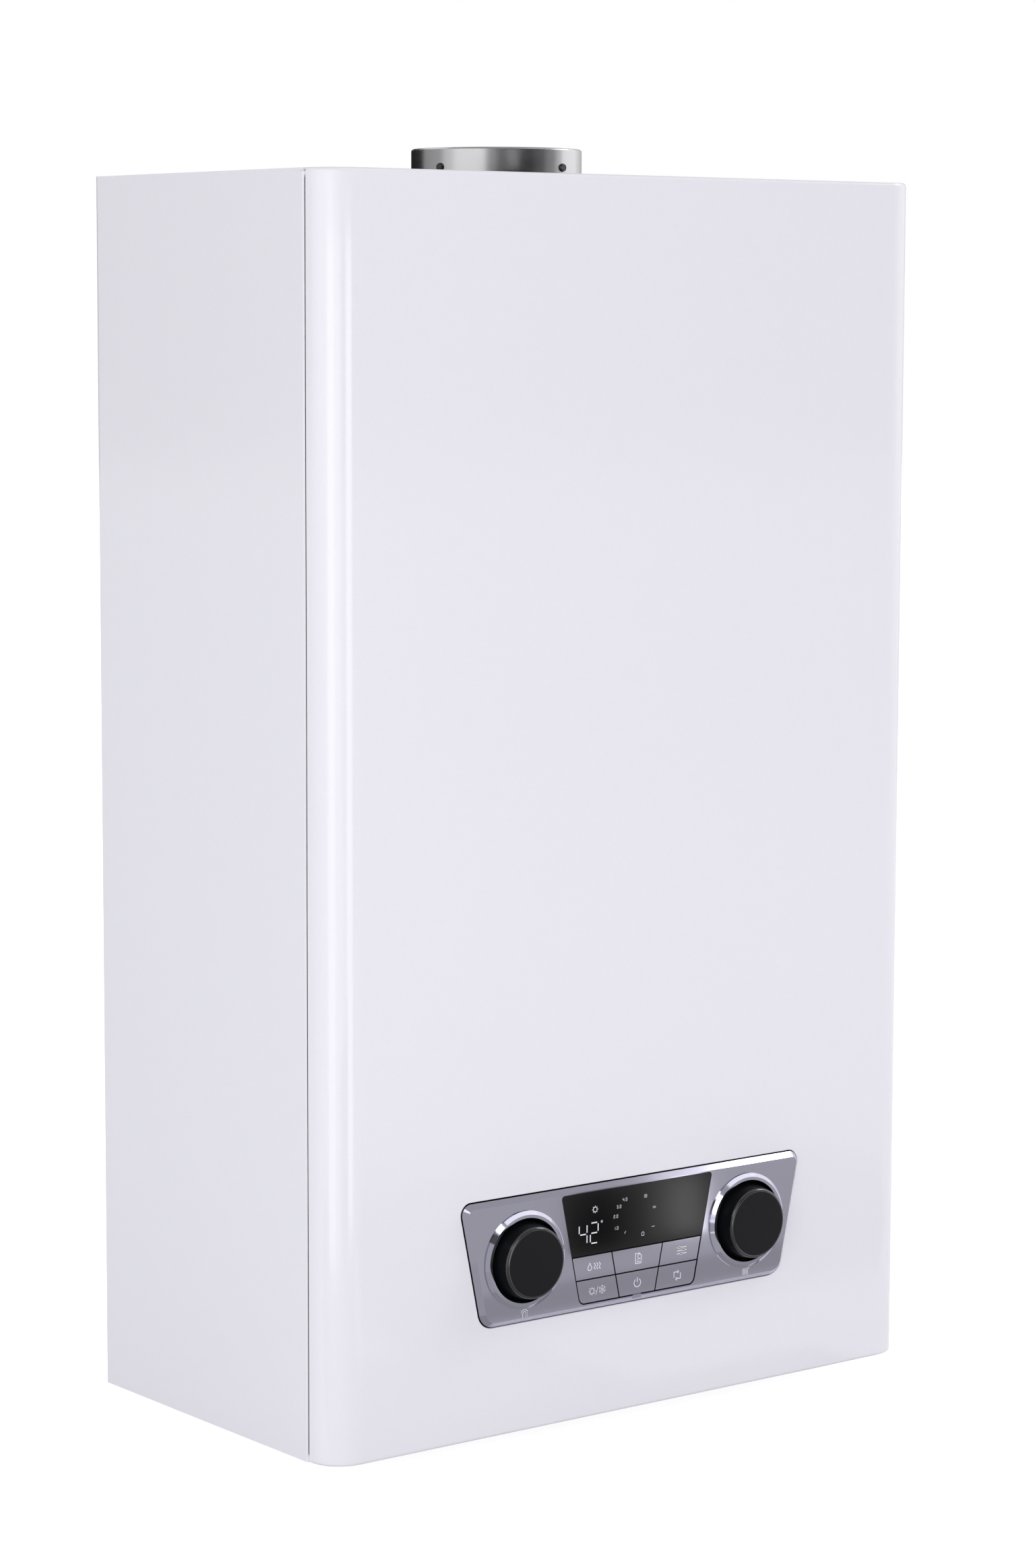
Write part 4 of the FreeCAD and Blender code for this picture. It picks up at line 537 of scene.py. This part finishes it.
def digit(value: int, width: float, height: float, gap: float, foot: tuple[float, float]) -> list[Path]:
    """A seven-segment digit.

    Args:
        value: The digit, 0 to 4.
        width: Its width.
        height: Its height.
        gap: What each segment is shortened by at both ends.
        foot: Its lower left corner.

    Returns:
        One short line for each segment that is lit.
    """
    x, z = foot
    left, right, middle, top = x, x + width, z + height / 2, z + height
    ends = {
        "a": ((left + gap, top), (right - gap, top)),
        "b": ((right, top - gap), (right, middle + gap)),
        "c": ((right, middle - gap), (right, z + gap)),
        "d": ((left + gap, z), (right - gap, z)),
        "e": ((left, middle - gap), (left, z + gap)),
        "f": ((left, top - gap), (left, middle + gap)),
        "g": ((left + gap, middle), (right - gap, middle)),
    }
    return [line(*ends[name]) for name in SEGMENTS[value]]


@dataclass
class SheetCase:
    """The outer case: enamelled sides, cover and lid, with bare zinc behind them."""

    enamelled: tuple[str, ...] = ("front_cover", "left_side_panel", "right_side_panel", "top_panel")
    zinc: tuple[str, ...] = ("rear_panel", "bottom_panel", "wall_bracket", "chamber_brackets")
    steel: tuple[str, ...] = ("cover_studs",)
    nylon: tuple[str, ...] = ("cover_clips", "cable_gland")
    seals: tuple[str, ...] = ("cover_gasket",)
    case_width: float = 420.0
    case_height: float = 695.0
    # The seam's band of painted shade: its front and rear, its two insets from the case's outline and its
    # corner radius
    seam_front: float = -209.35
    seam_rear: float = -208.55
    shade_band_inset: float = 0.1
    shade_band_depth: float = 3.0
    shade_band_round: float = 6.0

    def build(self, frame: Frame) -> None:
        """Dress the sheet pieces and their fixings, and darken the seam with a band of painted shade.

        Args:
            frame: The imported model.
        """
        dress(frame, WHITE_ENAMEL, self.enamelled)
        dress(frame, ZINC_SHEET, self.zinc)
        dress(frame, STAINLESS, self.steel)
        dress(frame, BLACK_NYLON, self.nylon)
        dress(frame, RUBBER, self.seals)
        self.seam_shade_band()

    def seam_shade_band(self) -> None:
        """Run a dark band of painted shade round the seam behind the cover, in the gasket's rubber.

        A small square profile is carried round a rectangle with rounded corners, set in from the
        case's outline by the profile's own inset. The nudge keeps each quarter's end in its quarter.
        """
        nudge = 1e-9
        turn = np.linspace(0.0, tau, 65)
        inset = np.array([self.shade_band_depth, self.shade_band_inset, self.shade_band_inset, self.shade_band_depth, self.shade_band_depth])
        depth = np.array([self.seam_front, self.seam_front, self.seam_rear, self.seam_rear, self.seam_front])
        reach = self.shade_band_round - inset
        middle = self.case_height / 2 + CASE_FOOT
        side = np.sign(np.cos(turn - nudge))[:, None] * (self.case_width / 2 - self.shade_band_round)
        rise = np.sign(np.sin(turn - nudge))[:, None] * (self.case_height / 2 - self.shade_band_round)
        across = side + reach * np.cos(turn)[:, None]
        level = middle + rise + reach * np.sin(turn)[:, None]
        grid = np.stack([across, np.broadcast_to(depth, across.shape), level], axis=-1)
        # A dark rubber band where the seam has only shadow: painted shade
        surface("seam_shade_band", [(grid, RUBBER)], "case")


@dataclass
class FlueOutlet:
    """The collar on the lid, its seal and screws, and the flue that leads to it."""

    chrome: tuple[str, ...] = ("flue_collar",)
    screws: tuple[str, ...] = ("collar_screws",)
    zinc: tuple[str, ...] = ("flue_hood",)
    aluminium: tuple[str, ...] = ("flue_socket", "fan_housing", "fan_plate", "fan_impeller")
    nylon: tuple[str, ...] = ("air_pressure_switch", "fan_motor")
    seals: tuple[str, ...] = ("collar_gasket",)

    def build(self, frame: Frame) -> None:
        """Dress the flue pieces.

        Args:
            frame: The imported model.
        """
        dress(frame, SATIN_CHROME, self.chrome)
        dress(frame, BLACKENED_STEEL, self.screws)
        dress(frame, ZINC_SHEET, self.zinc)
        dress(frame, CAST_ALUMINIUM, self.aluminium)
        dress(frame, BLACK_NYLON, self.nylon)
        dress(frame, RUBBER, self.seals)


@dataclass
class Inside:
    """The burner, water and gas pieces that stand behind the cover."""

    finishes: dict[Finish, tuple[str, ...]] = field(
        default_factory=lambda: {
            STAINLESS: ("burner", "plate_exchanger"),
            CAST_ALUMINIUM: ("combustion_chamber", "gas_valve", "gas_manifold", "pump_motor"),
            COPPER: ("heat_exchanger", "flow_pipe", "return_pipe", "water_pipes", "gas_pipe"),
            BRASS: (
                "heating_connectors",
                "water_connectors",
                "gas_connector",
                "diverter_valve",
                "relief_valve",
                "filling_tap",
            ),
            CAST_IRON: ("pump_body",),
            VESSEL_PAINT: ("expansion_vessel",),
            CERAMIC: ("ignition_electrodes",),
            BLACK_NYLON: ("diverter_motor", "filling_handle"),
            RED_PLASTIC: ("relief_knob",),
        }
    )

    def build(self, frame: Frame) -> None:
        """Dress the pieces of the burner, water and gas sides."""
        for finish, nodes in self.finishes.items():
            dress(frame, finish, nodes)


@dataclass
class ControlPanel:
    """The silver bezel with its knobs, keys and the box and board behind it."""

    face: float = -233.0
    print_lift: float = 0.04
    knob_across: float = 81.0
    sign_level: float = 68.1
    sign_scale: float = 0.78
    sign_stroke: float = 0.42
    knob_front: float = -244.0
    knob_rear: float = -230.5
    face_radius: float = 20.2
    skirt_radius: float = 23.2
    flare: float = 0.9
    flare_start: float = 0.72
    flare_run: float = 0.2
    taper_end: float = 0.92
    edge_round: float = 1.6
    crown: float = 0.2
    stem_radius: float = 3.0
    stem_rear: float = -224.2
    ring_bore: float = 24.05
    ring_crest: float = 25.7
    ring_rim: float = 27.75
    ring_front: float = -235.26
    ring_step: float = -233.72
    lacquered: tuple[str, ...] = ("control_bezel",)
    knob_level: float = 98.4
    knob_names: tuple[str, ...] = ("dhw", "heating")
    knob_bodies: tuple[str, ...] = ("hot_water_dial", "heating_dial")
    nylon: tuple[str, ...] = ("control_box",)
    boards: tuple[str, ...] = ("control_board", "board_switches")

    def build(self, frame: Frame) -> None:
        """Dress the panel, turn its knobs and rings, and print the signs under them.

        Args:
            frame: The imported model.
        """
        dress(frame, SILVER_LACQUER, self.lacquered)
        for hand, name, body in zip((-1.0, 1.0), self.knob_names, self.knob_bodies):
            axis = (hand * self.knob_across, self.knob_level)
            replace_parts(self.knob(f"{name}_dial", axis, body), f"{name}_knob")
            self.ring(f"{name}_ring", axis)
        dress(frame, BLACK_NYLON, self.nylon)
        dress(frame, BOARD, self.boards)
        dress(frame, RUBBER, ("button_mat",))
        self.shower_sign()
        self.radiator_sign()

    def knob(self, name: str, axis: tuple[float, float], body: str) -> bpy.types.Object:
        """Turn a knob: a faintly crowned face, a rounded edge, a tapered flank and a flared skirt.

        The flare adds the square of the way past the flank's end, so that it starts without a crease.

        Args:
            name: The piece's name.
            axis: The knob's axis, across and level.
            body: The body that it turns with.

        Returns:
            The knob's piece.
        """
        flat = self.face_radius - self.edge_round
        radius = np.linspace(0.0, flat, 12)
        crown = np.column_stack([radius, self.knob_front + self.crown * (radius / flat) ** 2])
        bend = np.radians(np.linspace(90.0, 0.0, 9))
        edge_depth = self.knob_front + self.crown + self.edge_round
        edge = np.column_stack(
            [flat + self.edge_round * np.cos(bend), edge_depth - self.edge_round * np.sin(bend)]
        )
        along = np.linspace(0.0, 1.0, 24)
        bell = self.flare * np.clip((along - self.flare_start) / self.flare_run, 0.0, 1.0) ** 2
        spread = self.skirt_radius - self.flare - self.face_radius
        taper = spread * np.clip(along / self.taper_end, 0.0, 1.0)
        flank = np.column_stack(
            [self.face_radius + taper + bell, edge_depth + (self.knob_rear - edge_depth) * along]
        )
        stem = line(
            (self.skirt_radius, self.knob_rear),
            (self.stem_radius, self.knob_rear),
            (self.stem_radius, self.stem_rear),
            (0.0, self.stem_rear),
        )
        patches = [
            (lathe(crown, axis), BLACK_ABS),
            (lathe(edge, axis), BLACK_GLOSS_ABS),
            # The flank wears a darker, duller copy of the knob's black: painted shade
            (lathe(np.vstack([flank, stem[1:]]), axis), BLACK_ABS_SHADED_FLANK),
        ]
        return surface(name, patches, body)

    def ring(self, name: str, axis: tuple[float, float]) -> None:
        """Turn the lacquered trim that stands on the bezel round a knob.

        Its section is closed: up from the bore, over the flat crest, down a slope of three in four and
        a low step to the face.

        Args:
            name: The piece's name.
            axis: The knob's axis, across and level.
        """
        section = line(
            (self.ring_bore, self.face),
            (self.ring_bore, self.ring_front),
            (self.ring_crest, self.ring_front),
            (self.ring_rim, self.ring_step),
            (self.ring_rim, self.face),
            (self.ring_bore, self.face),
        )
        surface(name, [(lathe(section, axis), SILVER_LACQUER)], "case")

    def sign(self, name: str, across: float) -> Sign:
        """A sign printed on the bezel's face under a knob."""
        centre, depth = (across, self.sign_level), self.face - self.print_lift
        return Sign(name, centre, "case", depth, PRINT_INK, "silver_plastic", self.sign_stroke)

    def shower_sign(self) -> None:
        """Print a bent pipe with a slanted rose and two columns of drops."""
        pipe = [
            np.vstack([line((-2.9, -3.0), (-2.9, 0.2)), arc((-0.3, 0.2), 2.6, 180.0, 70.0)]),
            line((0.5, 2.9), (2.9, 1.3)),
            line((-1.6, -3.0), (-1.6, 0.0), (-0.2, 1.4), (0.9, 1.3)),
        ]
        drops = [
            line((across, 0.6 - 1.3 * row), (across, 0.0 - 1.3 * row))
            for across in (1.0, 2.4)
            for row in range(3)
        ]
        self.sign("shower_sign", -self.knob_across).draw([self.sign_scale * path for path in pipe + drops])

    def radiator_sign(self) -> None:
        """Print five upright columns joined at head and foot, with a valve at the side."""
        columns = [line((x, -2.6), (x, 2.6)) for x in np.linspace(-2.6, 2.2, 5)]
        rails = [line((-2.6, 2.1), (3.6, 2.1)), line((-2.6, -2.1), (2.2, -2.1))]
        valve = [line((3.6, 1.6), (3.6, 2.8))]
        self.sign("radiator_sign", self.knob_across).draw(
            [self.sign_scale * path for path in columns + rails + valve]
        )


@dataclass
class KeyBlock:
    """The six keys, each printed with a plain sign."""

    face: float = -232.8
    print_lift: float = 0.04
    stroke: float = 0.5
    fine_stroke: float = 0.38
    places: dict[str, tuple[float, float]] = field(
        default_factory=lambda: {
            "comfort": (-31.3, 87.5),
            "service": (1.0, 87.5),
            "mode": (32.9, 87.5),
            "season": (-29.1, 73.4),
            "power": (0.15, 73.4),
            "reset": (29.6, 73.4),
        }
    )

    def build(self, frame: Frame) -> None:
        """Dress the keys and print their signs.

        Args:
            frame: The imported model.
        """
        dress(frame, SILVER_LACQUER, tuple(f"{key}_button" for key in self.places))
        self.comfort_sign()
        self.service_sign()
        self.mode_sign()
        self.season_sign()
        self.power_sign()
        self.reset_sign()

    def sign(self, key: str, stroke: float) -> Sign:
        """A sign that moves with its key."""
        centre, depth = self.places[key], self.face - self.print_lift
        return Sign(f"{key}_sign", centre, f"{key}_key", depth, PRINT_INK, "silver_plastic", stroke)

    def comfort_sign(self) -> None:
        """Print a drop beside three waves of warmth."""
        flank = arc((0.0, -0.7), 1.35, -220.0, 40.0)
        drop = np.vstack([line((0.0, 2.3)), flank, line((0.0, 2.3))]) + np.array((-3.2, 0.0))
        rise = np.linspace(-2.0, 2.0, 25)
        wave = np.column_stack([0.42 * np.sin(rise * 2.4), rise])
        self.sign("comfort", self.stroke).draw(
            [drop, *[wave + np.array((across, 0.0)) for across in (0.4, 2.2, 4.0)]]
        )

    def service_sign(self) -> None:
        """Print a sheet of paper with a glass over its corner."""
        sheet = line((0.9, 2.9), (-2.3, 2.9), (-2.3, -2.9), (1.7, -2.9), (1.7, -1.2))
        rows = [line((-1.2, -1.9), (0.9, -1.9)), line((-1.2, -0.9), (-0.2, -0.9))]
        glass = arc((0.7, 1.0), 1.35, 0.0, 360.0)
        handle = line((1.6, 0.0), (2.6, -1.1))
        self.sign("service", self.stroke).draw([sheet, glass, handle, *rows])

    def mode_sign(self) -> None:
        """Print three slide bars with their knobs at different places."""
        bars = [line((-3.6, rise), (3.6, rise)) for rise in (-1.8, 0.0, 1.8)]
        knobs = [disc((-1.6, 1.8), 0.75), disc((1.5, 0.0), 0.75), disc((-0.4, -1.8), 0.75)]
        self.sign("mode", self.stroke).draw(bars, knobs)

    def season_sign(self) -> None:
        """Print a sun and a snowflake parted by a slash."""
        slash = line((-0.9, -2.4), (0.7, 2.4))
        signs = [*sun(2.5, (-3.7, 0.0)), slash, *snowflake(2.5, (3.7, 0.0))]
        self.sign("season", self.fine_stroke).draw(signs)

    def power_sign(self) -> None:
        """Print an open ring with a bar in its gap."""
        ring = arc((0.0, 0.0), 2.4, 125.0, 415.0)
        self.sign("power", self.stroke).draw([ring, line((0.0, 0.4), (0.0, 3.1))])

    def reset_sign(self) -> None:
        """Print two arrows that follow each other round a square."""
        half = [line((-2.4, -1.2), (-2.4, 2.0), (1.0, 2.0)), line((0.2, 2.9), (1.2, 2.0), (0.2, 1.1))]
        self.sign("reset", self.stroke).draw(half + [-path for path in half])


@dataclass
class Display:
    """The dark window with its lit digits and scale."""

    face: float = -232.8
    lift: float = 0.04
    digit_foot: tuple[float, float] = (-42.2, 100.9)
    digit_size: tuple[float, float] = (5.6, 11.6)
    digit_pitch: float = 8.0
    digit_gap: float = 0.75
    digit_stroke: float = 0.75
    reading: tuple[int, int] = (4, 2)
    small_size: tuple[float, float] = (0.85, 1.7)
    small_gap: float = 0.08
    small_stroke: float = 0.24
    scale_places: tuple[tuple[float, float], ...] = (
        (-15.5, 107.1),
        (-15.8, 113.9),
        (-13.5, 119.2),
        (-9.2, 122.8),
    )

    def build(self, frame: Frame) -> None:
        """Dress the window and light its signs.

        Args:
            frame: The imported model.
        """
        dress(frame, BLACK_ACRYLIC, ("display_lens",))
        dress(frame, BLACK_NYLON, ("display_module",))
        self.temperature()
        self.scale()
        self.states()

    def sign(self, name: str, stroke: float) -> Sign:
        """A lit sign in the window."""
        depth = self.face - self.lift
        return Sign(name, (0.0, 0.0), "case", depth, LIT_SEGMENT, "black_gloss", stroke)

    def temperature(self) -> None:
        """Light the two large digits and the degree ring."""
        width, height = self.digit_size
        x, z = self.digit_foot
        lit = []
        for place, value in enumerate(self.reading):
            lit += digit(value, width, height, self.digit_gap, (x + place * self.digit_pitch, z))
        ring = arc((x + 2 * self.digit_pitch + 0.2, z + height), 0.55, 0.0, 360.0)
        self.sign("temperature_digits", self.digit_stroke).draw(lit)
        self.sign("degree_ring", stroke=0.3).draw([ring])

    def scale(self) -> None:
        """Light the pressure scale's four small numbers, each a digit, a point and a nought."""
        width, height = self.small_size
        lit = []
        points = []
        for value, (x, z) in enumerate(self.scale_places, start=1):
            low = z - height / 2
            lit += digit(value, width, height, self.small_gap, (x - 1.6, low))
            lit += digit(0, width, height, self.small_gap, (x + 0.6, low))
            points.append(disc((x - 0.15, low), 0.14))
        lit.append(line((-9.5, 103.1), (-8.5, 104.5)))
        self.sign("pressure_scale", self.small_stroke).draw(lit, points)

    def states(self) -> None:
        """Light the sun, the house and three level marks of one, two and three bars."""
        house = [
            line((2.9, 101.4), (4.0, 102.5), (5.1, 101.4)),
            line((3.2, 101.2), (3.2, 100.2), (4.8, 100.2), (4.8, 101.2)),
        ]
        bars = [
            line((x, z + 0.7 * row), (x + 2.2, z + 0.7 * row))
            for count, (x, z) in zip((1, 2, 3), ((10.4, 104.5), (11.2, 115.2), (4.8, 122.1)))
            for row in range(count)
        ]
        self.sign("summer_sign", stroke=0.4).draw(sun(2.2, (-30.8, 120.0)))
        self.sign("state_signs", stroke=0.26).draw(house + bars)


@dataclass
class Studio:
    """The pale floor, the soft lights and the camera."""

    floor_level: float = -645.6
    floor_reach: float = 9000.0
    floor_colour: str = "#F2F2F4"
    mirrored_lift: float = 0.3
    camera_lift: float = 0.55
    fill_colour: str = "#F6F6FA"
    fill_strength: float = 0.7
    focal: float = 5942.2
    yaw: float = 37.718
    pitch: float = -6.782
    roll: float = 0.173
    eye: Place = (-1413.4, -1948.1, -7.7)
    sensor: float = 36.0
    clip_start: float = 50.0
    clip_end: float = 60000.0
    # Each lamp: name, place, side, power in watts, and whether reflections show it
    lamps: tuple[tuple[str, Place, float, float, bool], ...] = (
        ("key_softbox", (-2250.0, -2050.0, 200.0), 1600.0, 30.0, False),
        ("overhead_softbox", (2660.0, -960.0, 1460.0), 1400.0, 32.0, True),
    )
    lamp_aim: Place = (0.0, -115.0, -280.0)
    # Each card: name, corner, the edges to its two neighbours, and how bright it looks
    cards: tuple[tuple[str, Place, Place, Place, float], ...] = (
        # Bright lines down the case's round corner
        ("corner_strip", (-564.0, -571.0, -640.0), (-104.0, 160.0, 0.0), (0.0, 0.0, 680.0), 2.7),
        ("corner_glow", (-415.0, -677.0, -640.0), (-149.0, 106.0, 0.0), (0.0, 0.0, 680.0), 1.5),
        ("corner_line", (-302.0, -829.0, -640.0), (190.0, 0.0, 0.0), (0.0, 0.0, 680.0), 3.1),
        ("far_strip", (-2600.0, -2230.0, -640.0), (0.0, 1410.0, 0.0), (0.0, 0.0, 3000.0), 1.2),
        # Dim and bright halves of the panel's upper bevel, and the white head of its rings
        ("top_flag", (-2400.0, -3400.0, 1200.0), (3820.0, 0.0, 0.0), (0.0, 4000.0, 0.0), 0.45),
        ("top_strip", (-100.0, -2070.0, 1195.0), (3000.0, 930.0, 0.0), (0.0, 400.0, 0.0), 1.35),
        ("right_strip", (2500.0, -1500.0, -640.0), (0.0, 1800.0, 0.0), (0.0, 0.0, 1760.0), 1.25),
        ("ring_shade", (-240.0, -550.0, -620.0), (0.0, 260.0, 0.0), (0.0, 0.0, 200.0), 0.5),
        # Grey of the panel's left bevel and ring slopes, its face and its foot
        ("left_flag", (-900.0, -1000.0, -642.0), (800.0, 0.0, 0.0), (0.0, 755.0, 0.0), 0.45),
        ("ring_flag", (-100.0, -450.0, -643.0), (170.0, 0.0, 0.0), (0.0, 150.0, 0.0), 0.5),
        ("sill_flag", (-250.0, -300.0, -640.0), (450.0, 0.0, 0.0), (0.0, 100.0, 0.0), 0.35),
        ("panel_flag", (0.0, -850.0, -641.0), (600.0, 0.0, 0.0), (0.0, 430.0, 0.0), 0.5),
        ("foot_flag", (60.0, -524.0, -640.0), (320.0, 0.0, 0.0), (0.0, 54.0, 0.0), 0.38),
        # Shade of the display's window, darkest at its left
        ("window_dark", (228.0, -582.0, -640.0), (45.0, 0.0, 0.0), (122.0, -148.0, 0.0), 0.01),
        ("window_dim", (273.0, -582.0, -640.0), (25.0, 0.0, 0.0), (122.0, -148.0, 0.0), 0.32),
        ("window_grey", (298.0, -582.0, -640.0), (20.0, 0.0, 0.0), (122.0, -148.0, 0.0), 1.1),
        ("window_pale", (318.0, -582.0, -640.0), (30.0, 0.0, 0.0), (122.0, -148.0, 0.0), 2.3),
    )
    rim_radius: float = 3000.0
    rim_foot: float = -200.0
    rim_height: float = 1500.0
    # Each step of the rim: where it starts and ends in degrees, and how bright it looks
    rim_steps: tuple[tuple[float, float, float], ...] = (
        (-135.0, -112.0, 0.45),
        (-112.0, -95.0, 0.85),
        (-95.0, -60.0, 1.2),
        (-50.0, -36.0, 0.3),
        (-36.0, -20.0, 0.1),
        (-20.0, 14.0, 0.01),
        (14.0, 30.0, 0.08),
        (30.0, 48.0, 0.27),
        (48.0, 64.0, 0.65),
        (64.0, 112.0, 0.9),
        (112.0, 135.0, 0.6),
        (135.0, 208.0, 0.01),
        (208.0, 225.0, 0.4),
    )

    def build(self) -> None:
        """Lay the floor, hang the lights and set the camera."""
        scene = bpy.context.scene
        scene.view_settings.view_transform = "Standard"
        self.floor()
        self.world()
        for lamp in self.lamps:
            self.lamp(*lamp)
        for card in self.cards:
            self.card(*card)
        self.rim()
        scene.camera = self.camera()

    def floor(self) -> None:
        """Lay a flat sheet under the boiler, white to the camera, pale to the light, clear from below."""
        reach = np.linspace(-self.floor_reach, self.floor_reach, 3) * MM
        x, y = np.meshgrid(reach, reach)
        points = np.column_stack([x.ravel(), y.ravel(), np.full(x.size, self.floor_level * MM)])
        mesh = bpy.data.meshes.new("floor")
        mesh.from_pydata(points.tolist(), [], quads(*x.shape).tolist())
        sheet = bpy.data.objects.new("floor", mesh)
        bpy.context.scene.collection.objects.link(sheet)
        paper = blank("backdrop_paper")
        tree = paper.node_tree
        seen = self.seen(tree)
        light = add(tree, "ShaderNodeLightPath")
        lift = add(
            tree,
            "ShaderNodeMath",
            {1: self.camera_lift, 2: self.mirrored_lift},
            {0: light.outputs["Is Camera Ray"]},
            operation="MULTIPLY_ADD",
        )
        matt = add(tree, "ShaderNodeBsdfDiffuse", {"Color": linear(self.floor_colour)})
        white = add(tree, "ShaderNodeEmission", links={"Strength": lift.outputs[0]})
        both = add(tree, "ShaderNodeAddShader", links={0: matt.outputs[0], 1: white.outputs[0]})
        paint = add(tree, "ShaderNodeMixShader", links={0: seen, 1: matt.outputs[0], 2: both.outputs[0]})
        side = add(tree, "ShaderNodeNewGeometry")
        clear = add(tree, "ShaderNodeBsdfTransparent")
        laid = add(
            tree,
            "ShaderNodeMixShader",
            links={0: side.outputs["Backfacing"], 1: paint.outputs[0], 2: clear.outputs[0]},
        )
        add(tree, "ShaderNodeOutputMaterial", links={"Surface": laid.outputs[0]})
        mesh.materials.append(paper)

    def seen(self, tree: bpy.types.NodeTree) -> bpy.types.NodeSocket:
        """One where the backdrop is looked at, straight or in a reflection or through glass.

        Args:
            tree: The tree that the nodes go into.

        Returns:
            The socket with the greatest of the three light path values.
        """
        light = add(tree, "ShaderNodeLightPath")
        either = add(
            tree,
            "ShaderNodeMath",
            links={0: light.outputs["Is Camera Ray"], 1: light.outputs["Is Glossy Ray"]},
            operation="MAXIMUM",
        )
        every = add(
            tree,
            "ShaderNodeMath",
            links={0: either.outputs[0], 1: light.outputs["Is Transmission Ray"]},
            operation="MAXIMUM",
        )
        return every.outputs[0]

    def world(self) -> None:
        """Fill the room with even light, and show it white."""
        room = bpy.data.worlds.new("studio_room")
        room.use_nodes = True
        tree = room.node_tree
        tree.nodes.clear()
        seen = self.seen(tree)
        even = {"Color": linear(self.fill_colour), "Strength": self.fill_strength}
        fill = add(tree, "ShaderNodeBackground", even)
        white = add(tree, "ShaderNodeBackground", {"Color": linear(WHITE), "Strength": 1.0})
        both = add(tree, "ShaderNodeMixShader", links={0: seen, 1: fill.outputs[0], 2: white.outputs[0]})
        add(tree, "ShaderNodeOutputWorld", links={"Surface": both.outputs[0]})
        bpy.context.scene.world = room

    def rim(self) -> None:
        """Stand cards in a ring far out, dark before and behind, which band the flue collar.

        A card's ends lie at (r sin a, -r cos a), with the angle a from the front to the right.
        """
        for place, (start, end, glow) in enumerate(self.rim_steps):
            turn = np.radians((start, end))
            x, y = self.rim_radius * np.sin(turn), -self.rim_radius * np.cos(turn)
            run = (x[1] - x[0], y[1] - y[0], 0.0)
            corner, upright = (x[0], y[0], self.rim_foot), (0.0, 0.0, self.rim_height)
            self.card(f"rim_{place}", corner, run, upright, glow)

    def card(self, name: str, corner: Place, first: Place, second: Place, glow: float) -> None:
        """Stand a dark or bright card outside the view, which only reflections show.

        Args:
            name: The card's name.
            corner: One of its corners.
            first: The edge from there to the next corner.
            second: The edge to the corner before.
            glow: How bright it looks, next to the room's 1.
        """
        start, along, up = (np.array(each) * MM for each in (corner, first, second))
        points = np.array([start, start + along, start + along + up, start + up])
        mesh = bpy.data.meshes.new(name)
        mesh.from_pydata(points.tolist(), [], [(0, 1, 2, 3)])
        paper = blank(f"{name}_paper")
        lit = add(paper.node_tree, "ShaderNodeEmission", {"Strength": glow})
        add(paper.node_tree, "ShaderNodeOutputMaterial", links={"Surface": lit.outputs[0]})
        mesh.materials.append(paper)
        sheet = bpy.data.objects.new(name, mesh)
        bpy.context.scene.collection.objects.link(sheet)
        sheet.visible_camera = False
        sheet.visible_diffuse = False
        sheet.visible_transmission = False
        sheet.visible_shadow = False

    def lamp(self, name: str, place: Place, side: float, power: float, mirrored: bool) -> None:
        """Hang a square softbox that faces the boiler's middle.

        Args:
            name: The lamp's name.
            place: Where it hangs.
            side: The length of its side.
            power: Its power in watts.
            mirrored: Whether reflections show it.
        """
        light = bpy.data.lights.new(name, "AREA")
        light.shape = "SQUARE"
        light.size = side * MM
        light.energy = power
        lamp = bpy.data.objects.new(name, light)
        spot = Vector(place) * MM
        aim = Vector(self.lamp_aim) * MM - spot
        lamp.matrix_world = Matrix.Translation(spot) @ aim.to_track_quat("-Z", "Y").to_matrix().to_4x4()
        lamp.visible_glossy = mirrored
        bpy.context.scene.collection.objects.link(lamp)

    def camera(self) -> bpy.types.Object:
        """Set the camera where the photograph was taken.

        Its forward direction is (sin yaw cos pitch, cos yaw cos pitch, sin pitch), its right hand lies
        level, and both are then rolled about the line of sight.

        Returns:
            The camera's object.
        """
        yaw, pitch, roll = (radians(turn) for turn in (self.yaw, self.pitch, self.roll))
        ahead = Vector((sin(yaw) * cos(pitch), cos(yaw) * cos(pitch), sin(pitch)))
        level = Vector((cos(yaw), -sin(yaw), 0.0))
        upright = level.cross(ahead)
        right = level * cos(roll) + upright * sin(roll)
        up = upright * cos(roll) - level * sin(roll)
        turn = Matrix((right, up, -ahead)).transposed().to_4x4()
        lens = bpy.data.cameras.new("camera")
        lens.sensor_width = self.sensor
        lens.lens = self.focal * self.sensor / max(IMAGE_WIDTH, IMAGE_HEIGHT)
        lens.clip_start = self.clip_start * MM
        lens.clip_end = self.clip_end * MM
        camera = bpy.data.objects.new("camera", lens)
        camera.matrix_world = Matrix.Translation(Vector(self.eye) * MM) @ turn
        bpy.context.scene.collection.objects.link(camera)
        return camera


def main() -> None:
    """Load the model, dress it and set the studio."""
    logging.basicConfig(level=logging.INFO, format="%(name)s: %(message)s")
    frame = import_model()
    for assembly in (SheetCase(), FlueOutlet(), Inside(), ControlPanel(), KeyBlock(), Display()):
        assembly.build(frame)
    Studio().build()


if __name__ == "__main__":
    main()
